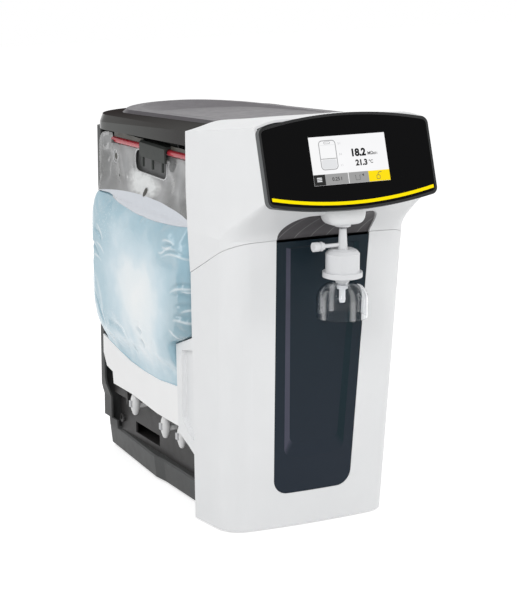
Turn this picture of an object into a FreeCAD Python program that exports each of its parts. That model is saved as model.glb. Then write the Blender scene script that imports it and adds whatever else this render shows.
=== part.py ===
import FreeCAD, Part

import math
import os
import re

import Sketcher
from FreeCAD import Placement, Rotation, Vector

# A bench-top ultrapure water system, in millimetres.
# +Z is up, -Y is the front with the display, +X is to the right seen from the front.
# The origin is on the bench, under the middle of the whole box.

SIZES = {
    # the whole machine
    "overall_depth": 576.0,
    "head_width": 280.0,
    "foot_height": 4.0,
    "shell_wall": 3.0,
    "seat_gap": 0.3,
    "running_gap": 0.05,
    # lower front shell
    "shell_depth": 118.0,
    "shell_foot_inset": 16.7,
    "shell_seam_inset": 6.6,
    "shell_foot_back_inset": 10.8,
    "shell_seam_back_inset": 5.4,
    "shell_foot_gap": 2.5,
    "shell_lean": 30.8,
    "shell_corner": 36.0,
    "face_sag": 7.2,
    "seam_height": 397.0,
    "seam_slope": 0.49,
    "seam_gap": 0.6,
    "grip_top": 250.0,
    "grip_bottom": 90.0,
    "grip_reach": 56.0,
    "grip_width": 11.6,
    "grip_setback": 3.4,
    "grip_recess_depth": 7.0,
    # head shell over it
    "display_reach": 82.3,
    "flare_reach": 69.0,
    "flare_height": 59.0,
    "flare_arch": 11.6,
    "flare_power": 1.4,
    "head_front_inset": 21.5,
    "head_front_corner": 8.0,
    "head_back_height": 525.5,
    "head_front_height": 545.0,
    "head_rim_rise": 11.5,
    "head_rim_width": 47.0,
    "head_front_crown": 12.5,
    # vessel panel in the lower shell
    "panel_top_width": 135.0,
    "panel_foot_width": 114.0,
    "panel_top": 393.0,
    "panel_foot": 49.0,
    "panel_corner": 20.0,
    "panel_wall": 3.0,
    "panel_step": 0.6,
    "recess_top_width": 119.0,
    "recess_foot_width": 98.0,
    "recess_foot": 94.0,
    "recess_margin": 5.0,
    "recess_bevel": 13.5,
    "recess_foot_bevel": 24.0,
    "recess_top_bevel": 4.0,
    "recess_depth": 4.0,
    "recess_corner": 9.0,
    "arch_rise": 36.0,
    "arch_top_width": 84.0,
    "insert_step": 3.0,
    # display module
    "display_tilt": 17.75,
    "display_low": 459.3,
    "display_setforward": 78.1,
    "display_inset": 23.0,
    "display_side": 90.0,
    "display_top_arch": 13.0,
    "display_foot_arch": 12.0,
    "display_corner": 6.0,
    "bezel_rim": 3.5,
    "bezel_depth": 10.0,
    "bezel_step": 0.6,
    "bezel_lip": 8.0,
    "glass_thickness": 3.0,
    "screen_width": 108.0,
    "screen_height": 60.5,
    "screen_low": 17.5,
    "screen_thickness": 1.6,
    "stripe_height": 4.2,
    "stripe_rise": 3.1,
    "stripe_thickness": 1.0,
    "board_thickness": 1.6,
    "board_post": 6.0,
    "display_board_margin": 30.0,
    "display_board_low": 12.0,
    "display_board_height": 64.0,
    # dispenser, filter capsule and bell
    "dispenser_setforward": 48.0,
    "pod_foot": 421.0,
    "pod_height": 28.0,
    "pod_width": 53.0,
    "pod_depth": 37.0,
    "pod_round": 7.0,
    "collar_width": 20.0,
    "collar_height": 3.5,
    "ring_width": 8.4,
    "ring_height": 2.2,
    "spigot_width": 4.6,
    "spigot_bore": 2.6,
    "spigot_reach": 20.0,
    "filter_low": 353.0,
    "filter_width": 43.5,
    "filter_height": 36.0,
    "filter_wall": 2.0,
    "inlet_top_width": 9.3,
    "inlet_foot_width": 12.4,
    "cone_height": 25.6,
    "flange_width": 51.0,
    "flange_height": 6.5,
    "neck_width": 17.0,
    "neck_height": 7.5,
    "hub_width": 14.0,
    "hub_height": 8.0,
    "tube_width": 8.0,
    "tube_reach": 18.0,
    "membrane_width": 37.0,
    "membrane_height": 25.0,
    "vent_height": 394.0,
    "vent_width": 5.0,
    "vent_length": 35.0,
    "vent_cap_width": 12.0,
    "vent_cap_length": 8.5,
    "bell_width": 66.0,
    "bell_top": 345.0,
    "bell_foot": 301.0,
    "bell_round": 21.0,
    "bell_wall": 1.8,
    # base
    "base_inset": 39.0,
    "base_kink_inset": 36.0,
    "base_rear_inset": 49.0,
    "base_flare": 2.5,
    "base_height": 32.0,
    "base_taper": 189.0,
    "base_straight": 27.0,
    "base_overhang": 4.0,
    "base_setback": 14.0,
    "base_wall": 3.0,
    "rubber_foot_width": 20.0,
    "rubber_foot_height": 5.0,
    # rear housing
    "rear_depth": 44.0,
    "rear_overhang": 16.0,
    "rear_inset": 21.0,
    "rear_corner": 20.0,
    "rear_wall": 3.0,
    "rear_foot_inset": 40.5,
    "rear_shoulder_inset": 30.8,
    "rear_step": 84.0,
    "slot_start": 20.0,
    "slot_length": 70.0,
    "slot_height": 5.0,
    "slot_low": 360.0,
    "slot_pitch": 12.0,
    # lid
    "lid_inset": 2.0,
    "lid_corner": 110.0,
    "lid_slope": 0.0785,
    "lid_low": 506.0,
    "lid_low_slope": 0.047,
    "lid_wall": 4.0,
    "crown_slope": 0.066,
    "shoulder_inset": 5.0,
    "shoulder_rise": 2.4,
    "shoulder_slope": 0.052,
    "ledge_width": 40.0,
    "ledge_back": 8.0,
    "cover_margin": 44.0,
    "cover_corner": 84.0,
    "cover_thickness": 5.5,
    "cover_skirt": 2.0,
    "cover_rear_skirt": 22.0,
    "cover_front_arch": 0.8,
    "cover_arch": 5.0,
    "dish_depth": 4.0,
    "dish_wall": 20.0,
    "dish_rear_wall": 66.0,
    # bag bay on the left
    "bay_wall_left": 58.0,
    "bay_wall_thickness": 4.0,
    "bay_margin": 4.0,
    "rod_width": 8.6,
    "rod_inset": 25.0,
    "rod_height": 480.6,
    "rod_setback": 8.0,
    "rod_rear_gap": 39.7,
    "rod_slope": 0.03,
    "saddle_width": 5.0,
    "saddle_height": 4.6,
    "hook_width": 83.0,
    "hook_setback": 142.0,
    "hook_inset": 40.0,
    "hook_thickness": 3.0,
    "hook_arm": 24.0,
    "hook_drop": 20.5,
    "hook_rib": 13.5,
    "hook_rib_pitch": 32.0,
    "pin_width": 4.0,
    "bag_low": 119.5,
    "bag_high": 402.0,
    "bag_corner": 11.0,
    "bag_bulge": 1.2,
    "bag_gap": 0.8,
    "film_thickness": 1.2,
    "film_window_width": 103.0,
    "film_window_height": 29.0,
    "film_window_shift": 22.0,
    "backplate_gap": 6.0,
    "backplate_thickness": 3.0,
    "backplate_height": 40.0,
    "backplate_overhang": 24.0,
    "tray_low": 110.5,
    "tray_rise": 6.7,
    "tray_high": 162.0,
    "tray_front_high": 169.0,
    "tray_rear_high": 184.0,
    "tray_wall": 2.5,
    "tray_inset": 19.5,
    "tray_step": 36.0,
    "coupling_width": 14.5,
    "coupling_height": 34.5,
    "coupling_inset": 29.0,
    "coupling_front": 80.0,
    "coupling_pitch": 54.5,
    "coupling_rear_gap": 93.2,
    "coupling_stub": 7.0,
    "latch_travel": 1.5,
    "latch_width": 6.0,
    "latch_height": 9.0,
    "lower_housing_inset": 46.0,
    "lower_housing_top": 100.0,
    "hatch_low": 45.0,
    "hatch_height": 16.0,
    "hatch_length": 83.5,
    "hatch_rear_gap": 139.5,
    "sensor_length": 40.0,
    "arm_reach": 11.0,
    "arm_length": 47.0,
    "arm_height": 11.0,
    # treatment compartment on the right
    "cartridge_width": 78.0,
    "cartridge_height": 330.0,
    "cartridge_x": 60.0,
    "cartridge_setback": 58.0,
    "neck_reach": 12.0,
    "holder_wall": 3.0,
    "holder_height": 40.0,
    "pump_width": 50.0,
    "pump_length": 62.0,
    "pump_setback": 150.0,
    "pump_gap": 6.0,
    "motor_width": 44.0,
    "motor_height": 58.0,
    "lamp_width": 19.0,
    "lamp_housing_width": 40.0,
    "lamp_height": 250.0,
    "lamp_wall": 2.0,
    "lamp_lift": 70.0,
    "lamp_setback": 34.0,
    "cell_width": 18.0,
    "cell_height": 46.0,
    "valve_width": 26.0,
    "valve_height": 44.0,
    "manifold_width": 60.0,
    "manifold_depth": 40.0,
    "manifold_height": 30.0,
    "main_board_depth": 150.0,
    "main_board_height": 110.0,
    "main_board_low": 360.0,
    "supply_width": 44.0,
    "supply_depth": 90.0,
    "supply_height": 140.0,
    "supply_low": 200.0,
    "hose_width": 6.0,
    # side door
    "door_top_inset": 2.0,
    "door_foot_inset": 12.0,
    "door_foot": 38.0,
    "door_thickness": 3.0,
    "door_rim": 7.0,
    "door_gap": 1.5,
    "hinge_width": 9.0,
    "hinge_height": 18.0,
    "hinge_pin_width": 4.0,
    "hinge_low": 110.0,
    "hinge_high": 420.0,
    "hinge_setback": 5.0,
    # rear fittings
    "hose_tail_width": 8.0,
    "hose_tail_length": 12.0,
    "fitting_width": 18.0,
    "fitting_flange": 3.0,
    "fitting_height": 90.0,
    "fitting_pitch": 40.0,
    "inlet_x": 70.0,
    "inlet_height": 130.0,
    "inlet_width": 27.0,
    "inlet_high": 20.0,
    "inlet_depth": 18.0,
    "inlet_wall": 2.5,
    "switch_height": 168.0,
    "switch_width": 14.0,
    "switch_high": 22.0,
    "switch_depth": 12.0,
    "rocker_tilt": 8.0,
    "screw_width": 4.0,
    "screw_length": 10.0,
    "screw_head_width": 7.0,
    "screw_head_height": 2.6,
}

# Places and sizes that follow from the ones above.
PLACES = {
    "shell_foot_width": "head_width - 2 * shell_foot_inset",
    "shell_seam_width": "head_width - 2 * shell_seam_inset",
    "shell_foot_back_width": "head_width - 2 * shell_foot_back_inset",
    "shell_seam_back_width": "head_width - 2 * shell_seam_back_inset",
    "head_front_width": "head_width - 2 * head_front_inset",
    "display_width": "head_width - 2 * display_inset",
    "base_width": "head_width - 2 * base_inset",
    "base_kink_width": "head_width - 2 * base_kink_inset",
    "base_rear_width": "head_width - 2 * base_rear_inset",
    "rear_width": "head_width - 2 * rear_inset",
    "rear_foot_width": "head_width - 2 * rear_foot_inset",
    "rear_shoulder_width": "head_width - 2 * rear_shoulder_inset",
    "lid_width": "head_width - 2 * lid_inset",
    "door_top_width": "head_width - 2 * door_top_inset",
    "door_foot_width": "head_width - 2 * door_foot_inset",
    "rod_offset": "head_width / 2 - rod_inset",
    "hook_back": "head_width / 2 - hook_inset",
    "tray_offset": "head_width / 2 - tray_inset",
    "coupling_offset": "head_width / 2 - coupling_inset",
    "lower_housing_offset": "head_width / 2 - lower_housing_inset",
    "front_y": "-overall_depth / 2",
    "back_y": "overall_depth / 2",
    "face_y": "front_y + display_reach",
    "shell_back_y": "face_y + shell_depth",
    "base_top": "foot_height + base_height",
    "rear_y": "back_y - rear_depth",
    "rear_face_y": "back_y - rear_overhang",
    "bay_length": "rear_y - shell_back_y",
    "rod_length": "bay_length - rod_setback - rod_rear_gap",
    "coupling_far": "bay_length - coupling_front - coupling_rear_gap",
    "hatch_setback": "bay_length - hatch_rear_gap",
    "axis_y": "face_y - dispenser_setforward",
    "right_wall_x": "bay_wall_thickness - bay_wall_left",
    "collar_low": "pod_foot - collar_height",
    "ring_low": "collar_low - ring_height",
    "filter_top": "filter_low + filter_height",
    "hook_pivot_z": "rod_height + rod_width / 2 + 3.5",
    "hook_y": "shell_back_y + hook_setback",
    "hinge_x": "rear_width / 2 + hinge_width / 2 + 0.5",
    "hinge_y": "rear_y - hinge_setback",
    "cartridge_y": "shell_back_y + cartridge_setback",
}


def bound(text):
    """The expression with each size written as its cell in a sheet."""

    def cell(match):
        word = match.group(0)
        if word in SIZES:
            return "Sizes." + word
        if word in PLACES:
            return "Places." + word
        return word

    return re.sub(r"[a-z][a-z0-9_]*", cell, text)


def fill_sheet(label, rows):
    """A spreadsheet with one named cell per row."""
    sheet = doc.addObject("Spreadsheet::Sheet", label)
    for row, (alias, text) in enumerate(rows, start=1):
        sheet.set(f"A{row}", alias)
        sheet.set(f"B{row}", text)
        sheet.setAlias(f"B{row}", alias)
    doc.recompute()
    return sheet


doc = FreeCAD.newDocument("WaterSystem")
size_sheet = fill_sheet("Sizes", [(alias, str(value)) for alias, value in SIZES.items()])
place_sheet = fill_sheet("Places", [(alias, "=" + bound(text)) for alias, text in PLACES.items()])
NODES = []


def mm(alias):
    """The value of one cell, as a plain number."""
    sheet = size_sheet if alias in SIZES else place_sheet
    return float(sheet.get(alias))


# ---------------------------------------------------------------- helpers


def node(label, item):
    """Name the finished sub-part and list it for export."""
    item.Label = label
    NODES.append(item)
    return item


def place(item, corner):
    """Bind the position of an object to three expressions."""
    for letter, text in zip("xyz", corner):
        item.setExpression(".Placement.Base." + letter, bound(text))


def block(corner, sides):
    """A box from its low corner and its three sides."""
    item = doc.addObject("Part::Box", "Block")
    for prop, text in zip(("Length", "Width", "Height"), sides):
        item.setExpression(prop, bound(text))
    place(item, corner)
    return item


TURNS = {
    "+x": Rotation(Vector(0, 1, 0), 90),
    "-x": Rotation(Vector(0, 1, 0), -90),
    "+y": Rotation(Vector(1, 0, 0), -90),
    "-y": Rotation(Vector(1, 0, 0), 90),
    "+z": Rotation(),
    "-z": Rotation(Vector(1, 0, 0), 180),
}


def rod(start, way, width, length):
    """A round bar of the given width that runs from its start one way."""
    item = doc.addObject("Part::Cylinder", "Bar")
    item.Placement = Placement(Vector(), TURNS[way])
    item.setExpression("Radius", bound(f"({width}) / 2"))
    item.setExpression("Height", bound(length))
    place(item, start)
    return item


def taper(start, way, first_width, last_width, length):
    """A round bar whose width changes evenly along its length."""
    item = doc.addObject("Part::Cone", "Taper")
    item.Placement = Placement(Vector(), TURNS[way])
    item.setExpression("Radius1", bound(f"({first_width}) / 2"))
    item.setExpression("Radius2", bound(f"({last_width}) / 2"))
    item.setExpression("Height", bound(length))
    place(item, start)
    return item


def joined(*items):
    """Several solids made into one."""
    item = doc.addObject("Part::MultiFuse", "Joined")
    item.Shapes = list(items)
    return item


def group(*items):
    """Identical separate solids kept as one sub-part."""
    item = doc.addObject("Part::Compound", "Group")
    item.Links = list(items)
    return item


def without(item, *tools):
    """A solid with one or more tools cut out of it."""
    result = doc.addObject("Part::Cut", "Cut")
    result.Base = item
    result.Tool = tools[0] if len(tools) == 1 else joined(*tools)
    return result


def shaped(shape, label="Form"):
    """A solid whose form only Part's own functions can make."""
    item = doc.addObject("Part::Feature", label)
    place_now = shape.Placement
    item.Shape = shape
    item.Placement = place_now
    return item


def outline(body, role, corners):
    """A closed sketch on an origin plane, with a pair of expressions for each corner."""
    sketch = body.newObject("Sketcher::SketchObject", "Outline")
    plane = [item for item in body.Origin.OriginFeatures if item.Role == role][0]
    sketch.AttachmentSupport = (plane, "")
    sketch.MapMode = "FlatFace"
    count = len(corners)
    turns = [2 * math.pi * index / count for index in range(count)]
    start = [Vector(50 + 30 * math.cos(turn), 50 + 30 * math.sin(turn), 0) for turn in turns]
    for index in range(count):
        sketch.addGeometry(Part.LineSegment(start[index], start[(index + 1) % count]), False)
    for index in range(count):
        sketch.addConstraint(Sketcher.Constraint("Coincident", index, 2, (index + 1) % count, 1))
    for index, (across, up) in enumerate(corners):
        rules = (("DistanceX", across, start[index].x, -2), ("DistanceY", up, start[index].y, -1))
        for kind, text, value, axis in rules:
            if text == "0":
                sketch.addConstraint(Sketcher.Constraint("PointOnObject", index, 1, axis))
            else:
                rule = sketch.addConstraint(Sketcher.Constraint(kind, index, 1, value))
                sketch.setExpression(f"Constraints[{rule}]", bound(text))
    return sketch


def turned(name, centre, corners):
    """A body turned about a vertical axis, from corners given as (radius, height)."""
    body = doc.addObject("PartDesign::Body", name)
    sketch = outline(body, "XZ_Plane", corners)
    turn = body.newObject("PartDesign::Revolution", "Turned")
    turn.Profile = sketch
    turn.ReferenceAxis = (sketch, ["V_Axis"])
    turn.Angle = 360
    place(body, centre)
    return body


def extruded(name, role, corners, length, centre):
    """A body padded evenly both ways from the sketch of its outline."""
    body = doc.addObject("PartDesign::Body", name)
    sketch = outline(body, role, corners)
    pad = body.newObject("PartDesign::Pad", "Pad")
    pad.Profile = sketch
    pad.SideType = "Symmetric"
    pad.setExpression("Length", bound(length))
    place(body, centre)
    return body


# ---------------------------------------------------------------- white front shells


def plan_wire(back_half, front_half, back, front, sag, corner, level):
    """A plan outline at one level: straight back and sides, round corners, bowed front."""
    bow = (front_half**2 + sag**2) / (2 * sag)
    inner = front_half - corner
    side_y = front + bow - math.sqrt((bow - corner) ** 2 - inner**2)
    reach = bow / (bow - corner)
    bow_x = inner * reach
    bow_y = front + bow + (side_y - front - bow) * reach
    lean = math.atan2(bow_y - side_y, bow_x - inner)
    middle = lean / 2
    corner_x = inner + corner * math.cos(middle)
    corner_y = side_y + corner * math.sin(middle)

    def at(x, y):
        return Vector(x, y, level)

    edges = [
        Part.LineSegment(at(-back_half, back), at(-front_half, side_y)).toShape(),
        Part.Arc(at(-front_half, side_y), at(-corner_x, corner_y), at(-bow_x, bow_y)).toShape(),
        Part.Arc(at(-bow_x, bow_y), at(0, front), at(bow_x, bow_y)).toShape(),
        Part.Arc(at(bow_x, bow_y), at(corner_x, corner_y), at(front_half, side_y)).toShape(),
        Part.LineSegment(at(front_half, side_y), at(back_half, back)).toShape(),
        Part.LineSegment(at(back_half, back), at(-back_half, back)).toShape(),
    ]
    return Part.Wire(edges)


def shell_section(level, inset, back):
    """The lower shell's outline at a level, moved inwards by an inset."""
    share = (level - mm("shell_foot_gap")) / (mm("seam_height") - mm("shell_foot_gap"))
    width = mm("shell_foot_width") + (mm("shell_seam_width") - mm("shell_foot_width")) * share
    half = width / 2 - inset
    back_half = shell_back_half(share) - inset
    front = mm("face_y") + mm("shell_lean") * (1 - share) + inset
    return plan_wire(back_half, half, back, front, mm("face_sag"), mm("shell_corner") - inset, level)


def shell_back_half(share):
    """Half the lower shell's width at its rear edge, at a share of the way up to the seam."""
    foot = mm("shell_foot_back_width")
    return (foot + (mm("shell_seam_back_width") - foot) * share) / 2


def lower_form(inset, low, high, back):
    """The solid form of the lower shell between two levels."""
    return Part.makeLoft([shell_section(low, inset, back), shell_section(high, inset, back)], True, True)


def flare_section(step, inset, back):
    """The head's outline at a step from 0, at the seam, to 1, at the display's lower edge."""
    level = mm("seam_height") + mm("flare_height") * step
    arched = mm("flare_height") - mm("flare_arch")
    front_step = mm("flare_height") * step / arched
    power = mm("flare_power")
    front = mm("face_y") - mm("flare_reach") * front_step**power
    corner_front = mm("face_y") + mm("face_sag") - mm("flare_reach") * step**power
    seam_half = mm("shell_seam_width") / 2
    front_half = seam_half + (mm("head_front_width") / 2 - seam_half) * step
    seam_back = mm("shell_seam_back_width") / 2
    back_half = seam_back + (mm("head_width") / 2 - seam_back) * min(1, 0.6 + 0.4 * step)
    corner = mm("shell_corner") + (mm("head_front_corner") - mm("shell_corner")) * step
    shift = inset * (1 + step)
    return plan_wire(
        back_half - inset,
        front_half - inset,
        back,
        front + shift,
        corner_front - front,
        max(corner - inset, 2),
        level,
    )


def roof_arc(y, inset):
    """The head's top edge line at one depth: two sloping rims and a nearly flat crown."""
    share = (mm("shell_back_y") - y) / (mm("shell_back_y") - mm("face_y") + mm("display_reach") - 31)
    edge = mm("head_back_height") + (mm("head_front_height") - mm("head_back_height")) * share
    rise = mm("head_rim_rise") + (mm("head_front_crown") - mm("head_rim_rise")) * share
    half = mm("head_width") / 2
    rim = mm("head_rim_width")
    side = []
    for reach, height in ((-0.2, -0.2), (0, 0), (0.5, 0.48), (0.85, 0.86), (1, 0.95), (1.5, 0.98)):
        side.append((half - rim * reach, edge + rise * height - inset))
    left = [Vector(-x, y, z) for x, z in side]
    right = [Vector(x, y, z) for x, z in reversed(side)]
    return left + [Vector(0, y, edge + rise - inset)] + right


def over_roof(inset):
    """Everything above the head's top surface."""
    sky = mm("head_front_height") + mm("display_side")
    wires = []
    for y in (mm("front_y") - 20, mm("shell_back_y") + 30):
        points = roof_arc(y, inset)
        curve = Part.BSplineCurve()
        curve.interpolate(points)
        ends = [Vector(points[-1].x, y, sky), Vector(points[0].x, y, sky)]
        lines = Part.makePolygon([points[-1], ends[0], ends[1], points[0]])
        wires.append(Part.Wire([curve.toShape()] + lines.Edges))
    return Part.makeLoft(wires, True, True)


def head_form(inset, back):
    """The solid form of the head, before its seam and its display face are cut."""
    low = mm("seam_height") - mm("seam_slope") * mm("shell_depth") - 12
    seam = mm("seam_height")
    steps = [0, 0.2, 0.4, 0.6, 0.8, 1]
    wires = [flare_section(step, inset, back) for step in steps]
    foot = flare_section(0, inset, back)
    share = (low - mm("shell_foot_gap")) / (seam - mm("shell_foot_gap"))
    half = (mm("shell_foot_width") + (mm("shell_seam_width") - mm("shell_foot_width")) * share) / 2 - inset
    front = mm("face_y") + mm("shell_lean") * (1 - share) + inset
    back_half = shell_back_half(share) - inset
    lower = plan_wire(back_half, half, back, front, mm("face_sag"), mm("shell_corner") - inset, low)
    top = wires[-1].copy()
    top.translate(Vector(0, 0, mm("head_front_height") + 40 - seam - mm("flare_height")))
    parts = [
        Part.makeLoft([lower, foot], True, True),
        Part.makeLoft(wires, True, False),
        Part.makeLoft([wires[-1], top], True, True),
    ]
    return parts[0].fuse(parts[1:]).cut(over_roof(inset))


def seam_tool(gap, above):
    """Everything above, or below, the sloping seam plane, moved off it by a gap."""
    width = mm("head_width")
    deep = mm("shell_back_y") + 60
    near = mm("front_y") - 60
    points = []
    for y in (near, deep):
        z = mm("seam_height") - mm("seam_slope") * (y - mm("face_y")) + gap
        points.append(Vector(-width, y, z))
    far_z = mm("head_front_height") + width if above else -width
    points += [Vector(-width, deep, far_z), Vector(-width, near, far_z)]
    face = Part.Face(Part.makePolygon(points + points[:1]))
    return face.extrude(Vector(2 * width, 0, 0))


def display_place():
    """The display's own frame: x across, y up its face, z straight out of it."""
    low_edge = Vector(0, mm("face_y") - mm("display_setforward"), mm("display_low"))
    return Placement(low_edge, Rotation(Vector(1, 0, 0), 90 - mm("display_tilt")))


def display_form(grow, low, high):
    """The display's outline, grown outwards, between two depths behind its face."""
    half = mm("display_width") / 2 + grow
    side = mm("display_side") + grow
    foot_arch = mm("display_foot_arch")
    top_arch = mm("display_top_arch")
    edges = [
        Part.Arc(Vector(-half, -grow, low), Vector(0, -grow - foot_arch, low), Vector(half, -grow, low)).toShape(),
        Part.LineSegment(Vector(half, -grow, low), Vector(half, side, low)).toShape(),
        Part.Arc(Vector(half, side, low), Vector(0, side + top_arch, low), Vector(-half, side, low)).toShape(),
        Part.LineSegment(Vector(-half, side, low), Vector(-half, -grow, low)).toShape(),
    ]
    solid = Part.Face(Part.Wire(edges)).extrude(Vector(0, 0, high - low))
    upright = [edge for edge in solid.Edges if abs(edge.Length - (high - low)) < 0.001]
    solid = solid.makeFillet(max(mm("display_corner") + grow, 2), upright)
    solid.Placement = display_place()
    return solid


def tapered_wire(top_half, foot_half, top, foot, corner, depth):
    """A closed outline in the leaning front face, wider at its top, with round foot corners."""
    slope = (top_half - foot_half) / (top - foot)
    wide = foot_half + slope * corner
    bend = corner * (1 - math.sqrt(0.5))
    return Part.Wire(
        [
            Part.LineSegment(Vector(-top_half, top, depth), Vector(-wide, foot + corner, depth)).toShape(),
            Part.Arc(
                Vector(-wide, foot + corner, depth),
                Vector(-foot_half + bend - slope * bend, foot + bend, depth),
                Vector(corner - foot_half, foot, depth),
            ).toShape(),
            Part.LineSegment(
                Vector(corner - foot_half, foot, depth), Vector(foot_half - corner, foot, depth)
            ).toShape(),
            Part.Arc(
                Vector(foot_half - corner, foot, depth),
                Vector(foot_half - bend + slope * bend, foot + bend, depth),
                Vector(wide, foot + corner, depth),
            ).toShape(),
            Part.LineSegment(Vector(wide, foot + corner, depth), Vector(top_half, top, depth)).toShape(),
            Part.LineSegment(Vector(top_half, top, depth), Vector(-top_half, top, depth)).toShape(),
        ]
    )


def face_place():
    """The leaning front face's own frame: x across, y up the face, z straight out of it."""
    lean = math.degrees(math.atan2(mm("shell_lean"), mm("seam_height") - mm("shell_foot_gap")))
    foot_y = mm("face_y") + mm("shell_lean") * mm("seam_height") / (mm("seam_height") - mm("shell_foot_gap"))
    return Placement(Vector(0, foot_y, 0), Rotation(Vector(1, 0, 0), 90 + lean))


def panel_prism(grow, near, far):
    """The vessel panel's outline, grown outwards, as a prism through the front face."""
    above = 12
    spread = (mm("panel_top_width") - mm("panel_foot_width")) / 2 / (mm("panel_top") - mm("panel_foot"))
    wire = tapered_wire(
        mm("panel_top_width") / 2 + grow + spread * above,
        mm("panel_foot_width") / 2 + grow,
        mm("panel_top") + above,
        mm("panel_foot") - grow,
        mm("panel_corner") + grow,
        near,
    )
    solid = Part.Face(wire).extrude(Vector(0, 0, far - near))
    solid.Placement = face_place()
    return solid


def recess_form(grow, lead):
    """The bevelled recess of the vessel panel, grown by a wall, starting before the face."""
    depth = mm("recess_depth")
    wires = []
    for level in (lead, -depth - grow):
        share = -level / depth
        inset = mm("recess_bevel") * share - grow
        wires.append(
            tapered_wire(
                mm("recess_top_width") / 2 - inset,
                mm("recess_foot_width") / 2 - inset,
                mm("panel_top") - mm("recess_margin") - mm("recess_top_bevel") * share + grow,
                mm("recess_foot") + mm("recess_foot_bevel") * share - grow,
                mm("recess_corner"),
                level,
            )
        )
    solid = Part.makeLoft(wires, True, True)
    solid.Placement = face_place()
    return solid


def arch_prism(grow, far_y):
    """The arched opening under the head, above the vessel panel."""
    half = mm("panel_top_width") / 2 + grow
    top_half = mm("arch_top_width") / 2 + grow
    low = mm("seam_height") - 6 - grow
    spring = mm("seam_height") + 2
    top = mm("seam_height") + mm("arch_rise") + grow
    y = mm("front_y") - 10
    bend_x = half - (half - top_half) * 0.22
    bend_z = spring + (top - spring) * 0.7
    edges = [
        Part.LineSegment(Vector(-half, y, low), Vector(-half, y, spring)).toShape(),
        Part.Arc(Vector(-half, y, spring), Vector(-bend_x, y, bend_z), Vector(-top_half, y, top)).toShape(),
        Part.LineSegment(Vector(-top_half, y, top), Vector(top_half, y, top)).toShape(),
        Part.Arc(Vector(top_half, y, top), Vector(bend_x, y, bend_z), Vector(half, y, spring)).toShape(),
        Part.LineSegment(Vector(half, y, spring), Vector(half, y, low)).toShape(),
        Part.LineSegment(Vector(half, y, low), Vector(-half, y, low)).toShape(),
    ]
    return Part.Face(Part.Wire(edges)).extrude(Vector(0, far_y - y, 0))


def pod_block(grow):
    """The plain rounded block round the dispenser pod, as a tool for its neighbours."""
    width = mm("pod_width") + 2 * grow
    depth = mm("pod_depth") + 2 * grow
    low = mm("pod_foot") - 5
    high = mm("pod_foot") + mm("pod_height") + grow
    solid = Part.makeBox(width, depth, high - low, Vector(-width / 2, mm("axis_y") - depth / 2, low))
    upright = [edge for edge in solid.Edges if abs(edge.Vertexes[0].Z - edge.Vertexes[1].Z) > 1]
    return solid.makeFillet(mm("pod_round") + grow, upright)


def pod_section(level, inset):
    """The pod's rounded outline at one level, drawn in by an inset."""
    across = mm("pod_width") / 2 - inset
    along = mm("pod_depth") / 2 - inset * 0.8
    points = []
    for index in range(32):
        turn = 2 * math.pi * (index + 0.5) / 32
        x = math.copysign(abs(math.cos(turn)) ** 0.4, math.cos(turn)) * across
        y = math.copysign(abs(math.sin(turn)) ** 0.4, math.sin(turn)) * along
        points.append(Vector(x, mm("axis_y") + y, level))
    curve = Part.BSplineCurve()
    curve.interpolate(points, PeriodicFlag=True)
    return Part.Wire([curve.toShape()])


def pod_form():
    """The dispenser pod: a rounded block that narrows to its foot."""
    foot = mm("pod_foot")
    levels = ((0, 7.5), (0.8, 5.8), (3.5, 2.9), (8, 0.9), (14, 0.1), (mm("pod_height"), 0))
    return Part.makeLoft([pod_section(foot + rise, inset) for rise, inset in levels], True, False)


def grip_form(side, grow):
    """The grip tab that stands out of the shell's rear edge on one side."""
    reach = mm("grip_reach") + grow
    start = mm("shell_back_y") - 6
    end = mm("shell_back_y") + reach
    top = mm("grip_top") + grow
    low = mm("grip_bottom") - grow
    slant = 20
    points = [
        Vector(0, start, top + 2),
        Vector(0, mm("shell_back_y") + 4, top),
        Vector(0, end, top - slant),
        Vector(0, end - 6, low + slant),
        Vector(0, mm("shell_back_y") + 18, low + slant - 12),
        Vector(0, mm("shell_back_y"), low),
        Vector(0, start, low),
    ]
    solid = Part.Face(Part.makePolygon(points + points[:1])).extrude(Vector(mm("grip_width") + 2 * grow, 0, 0))
    if side < 0:
        x = grip_x() * -1 - grow
    else:
        x = grip_x() - mm("grip_width") - grow
    solid.translate(Vector(x, 0, 0))
    return solid


def grip_x():
    """How far out the grip tabs' outer faces stand."""
    return mm("shell_seam_width") / 2 - mm("grip_setback")


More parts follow.
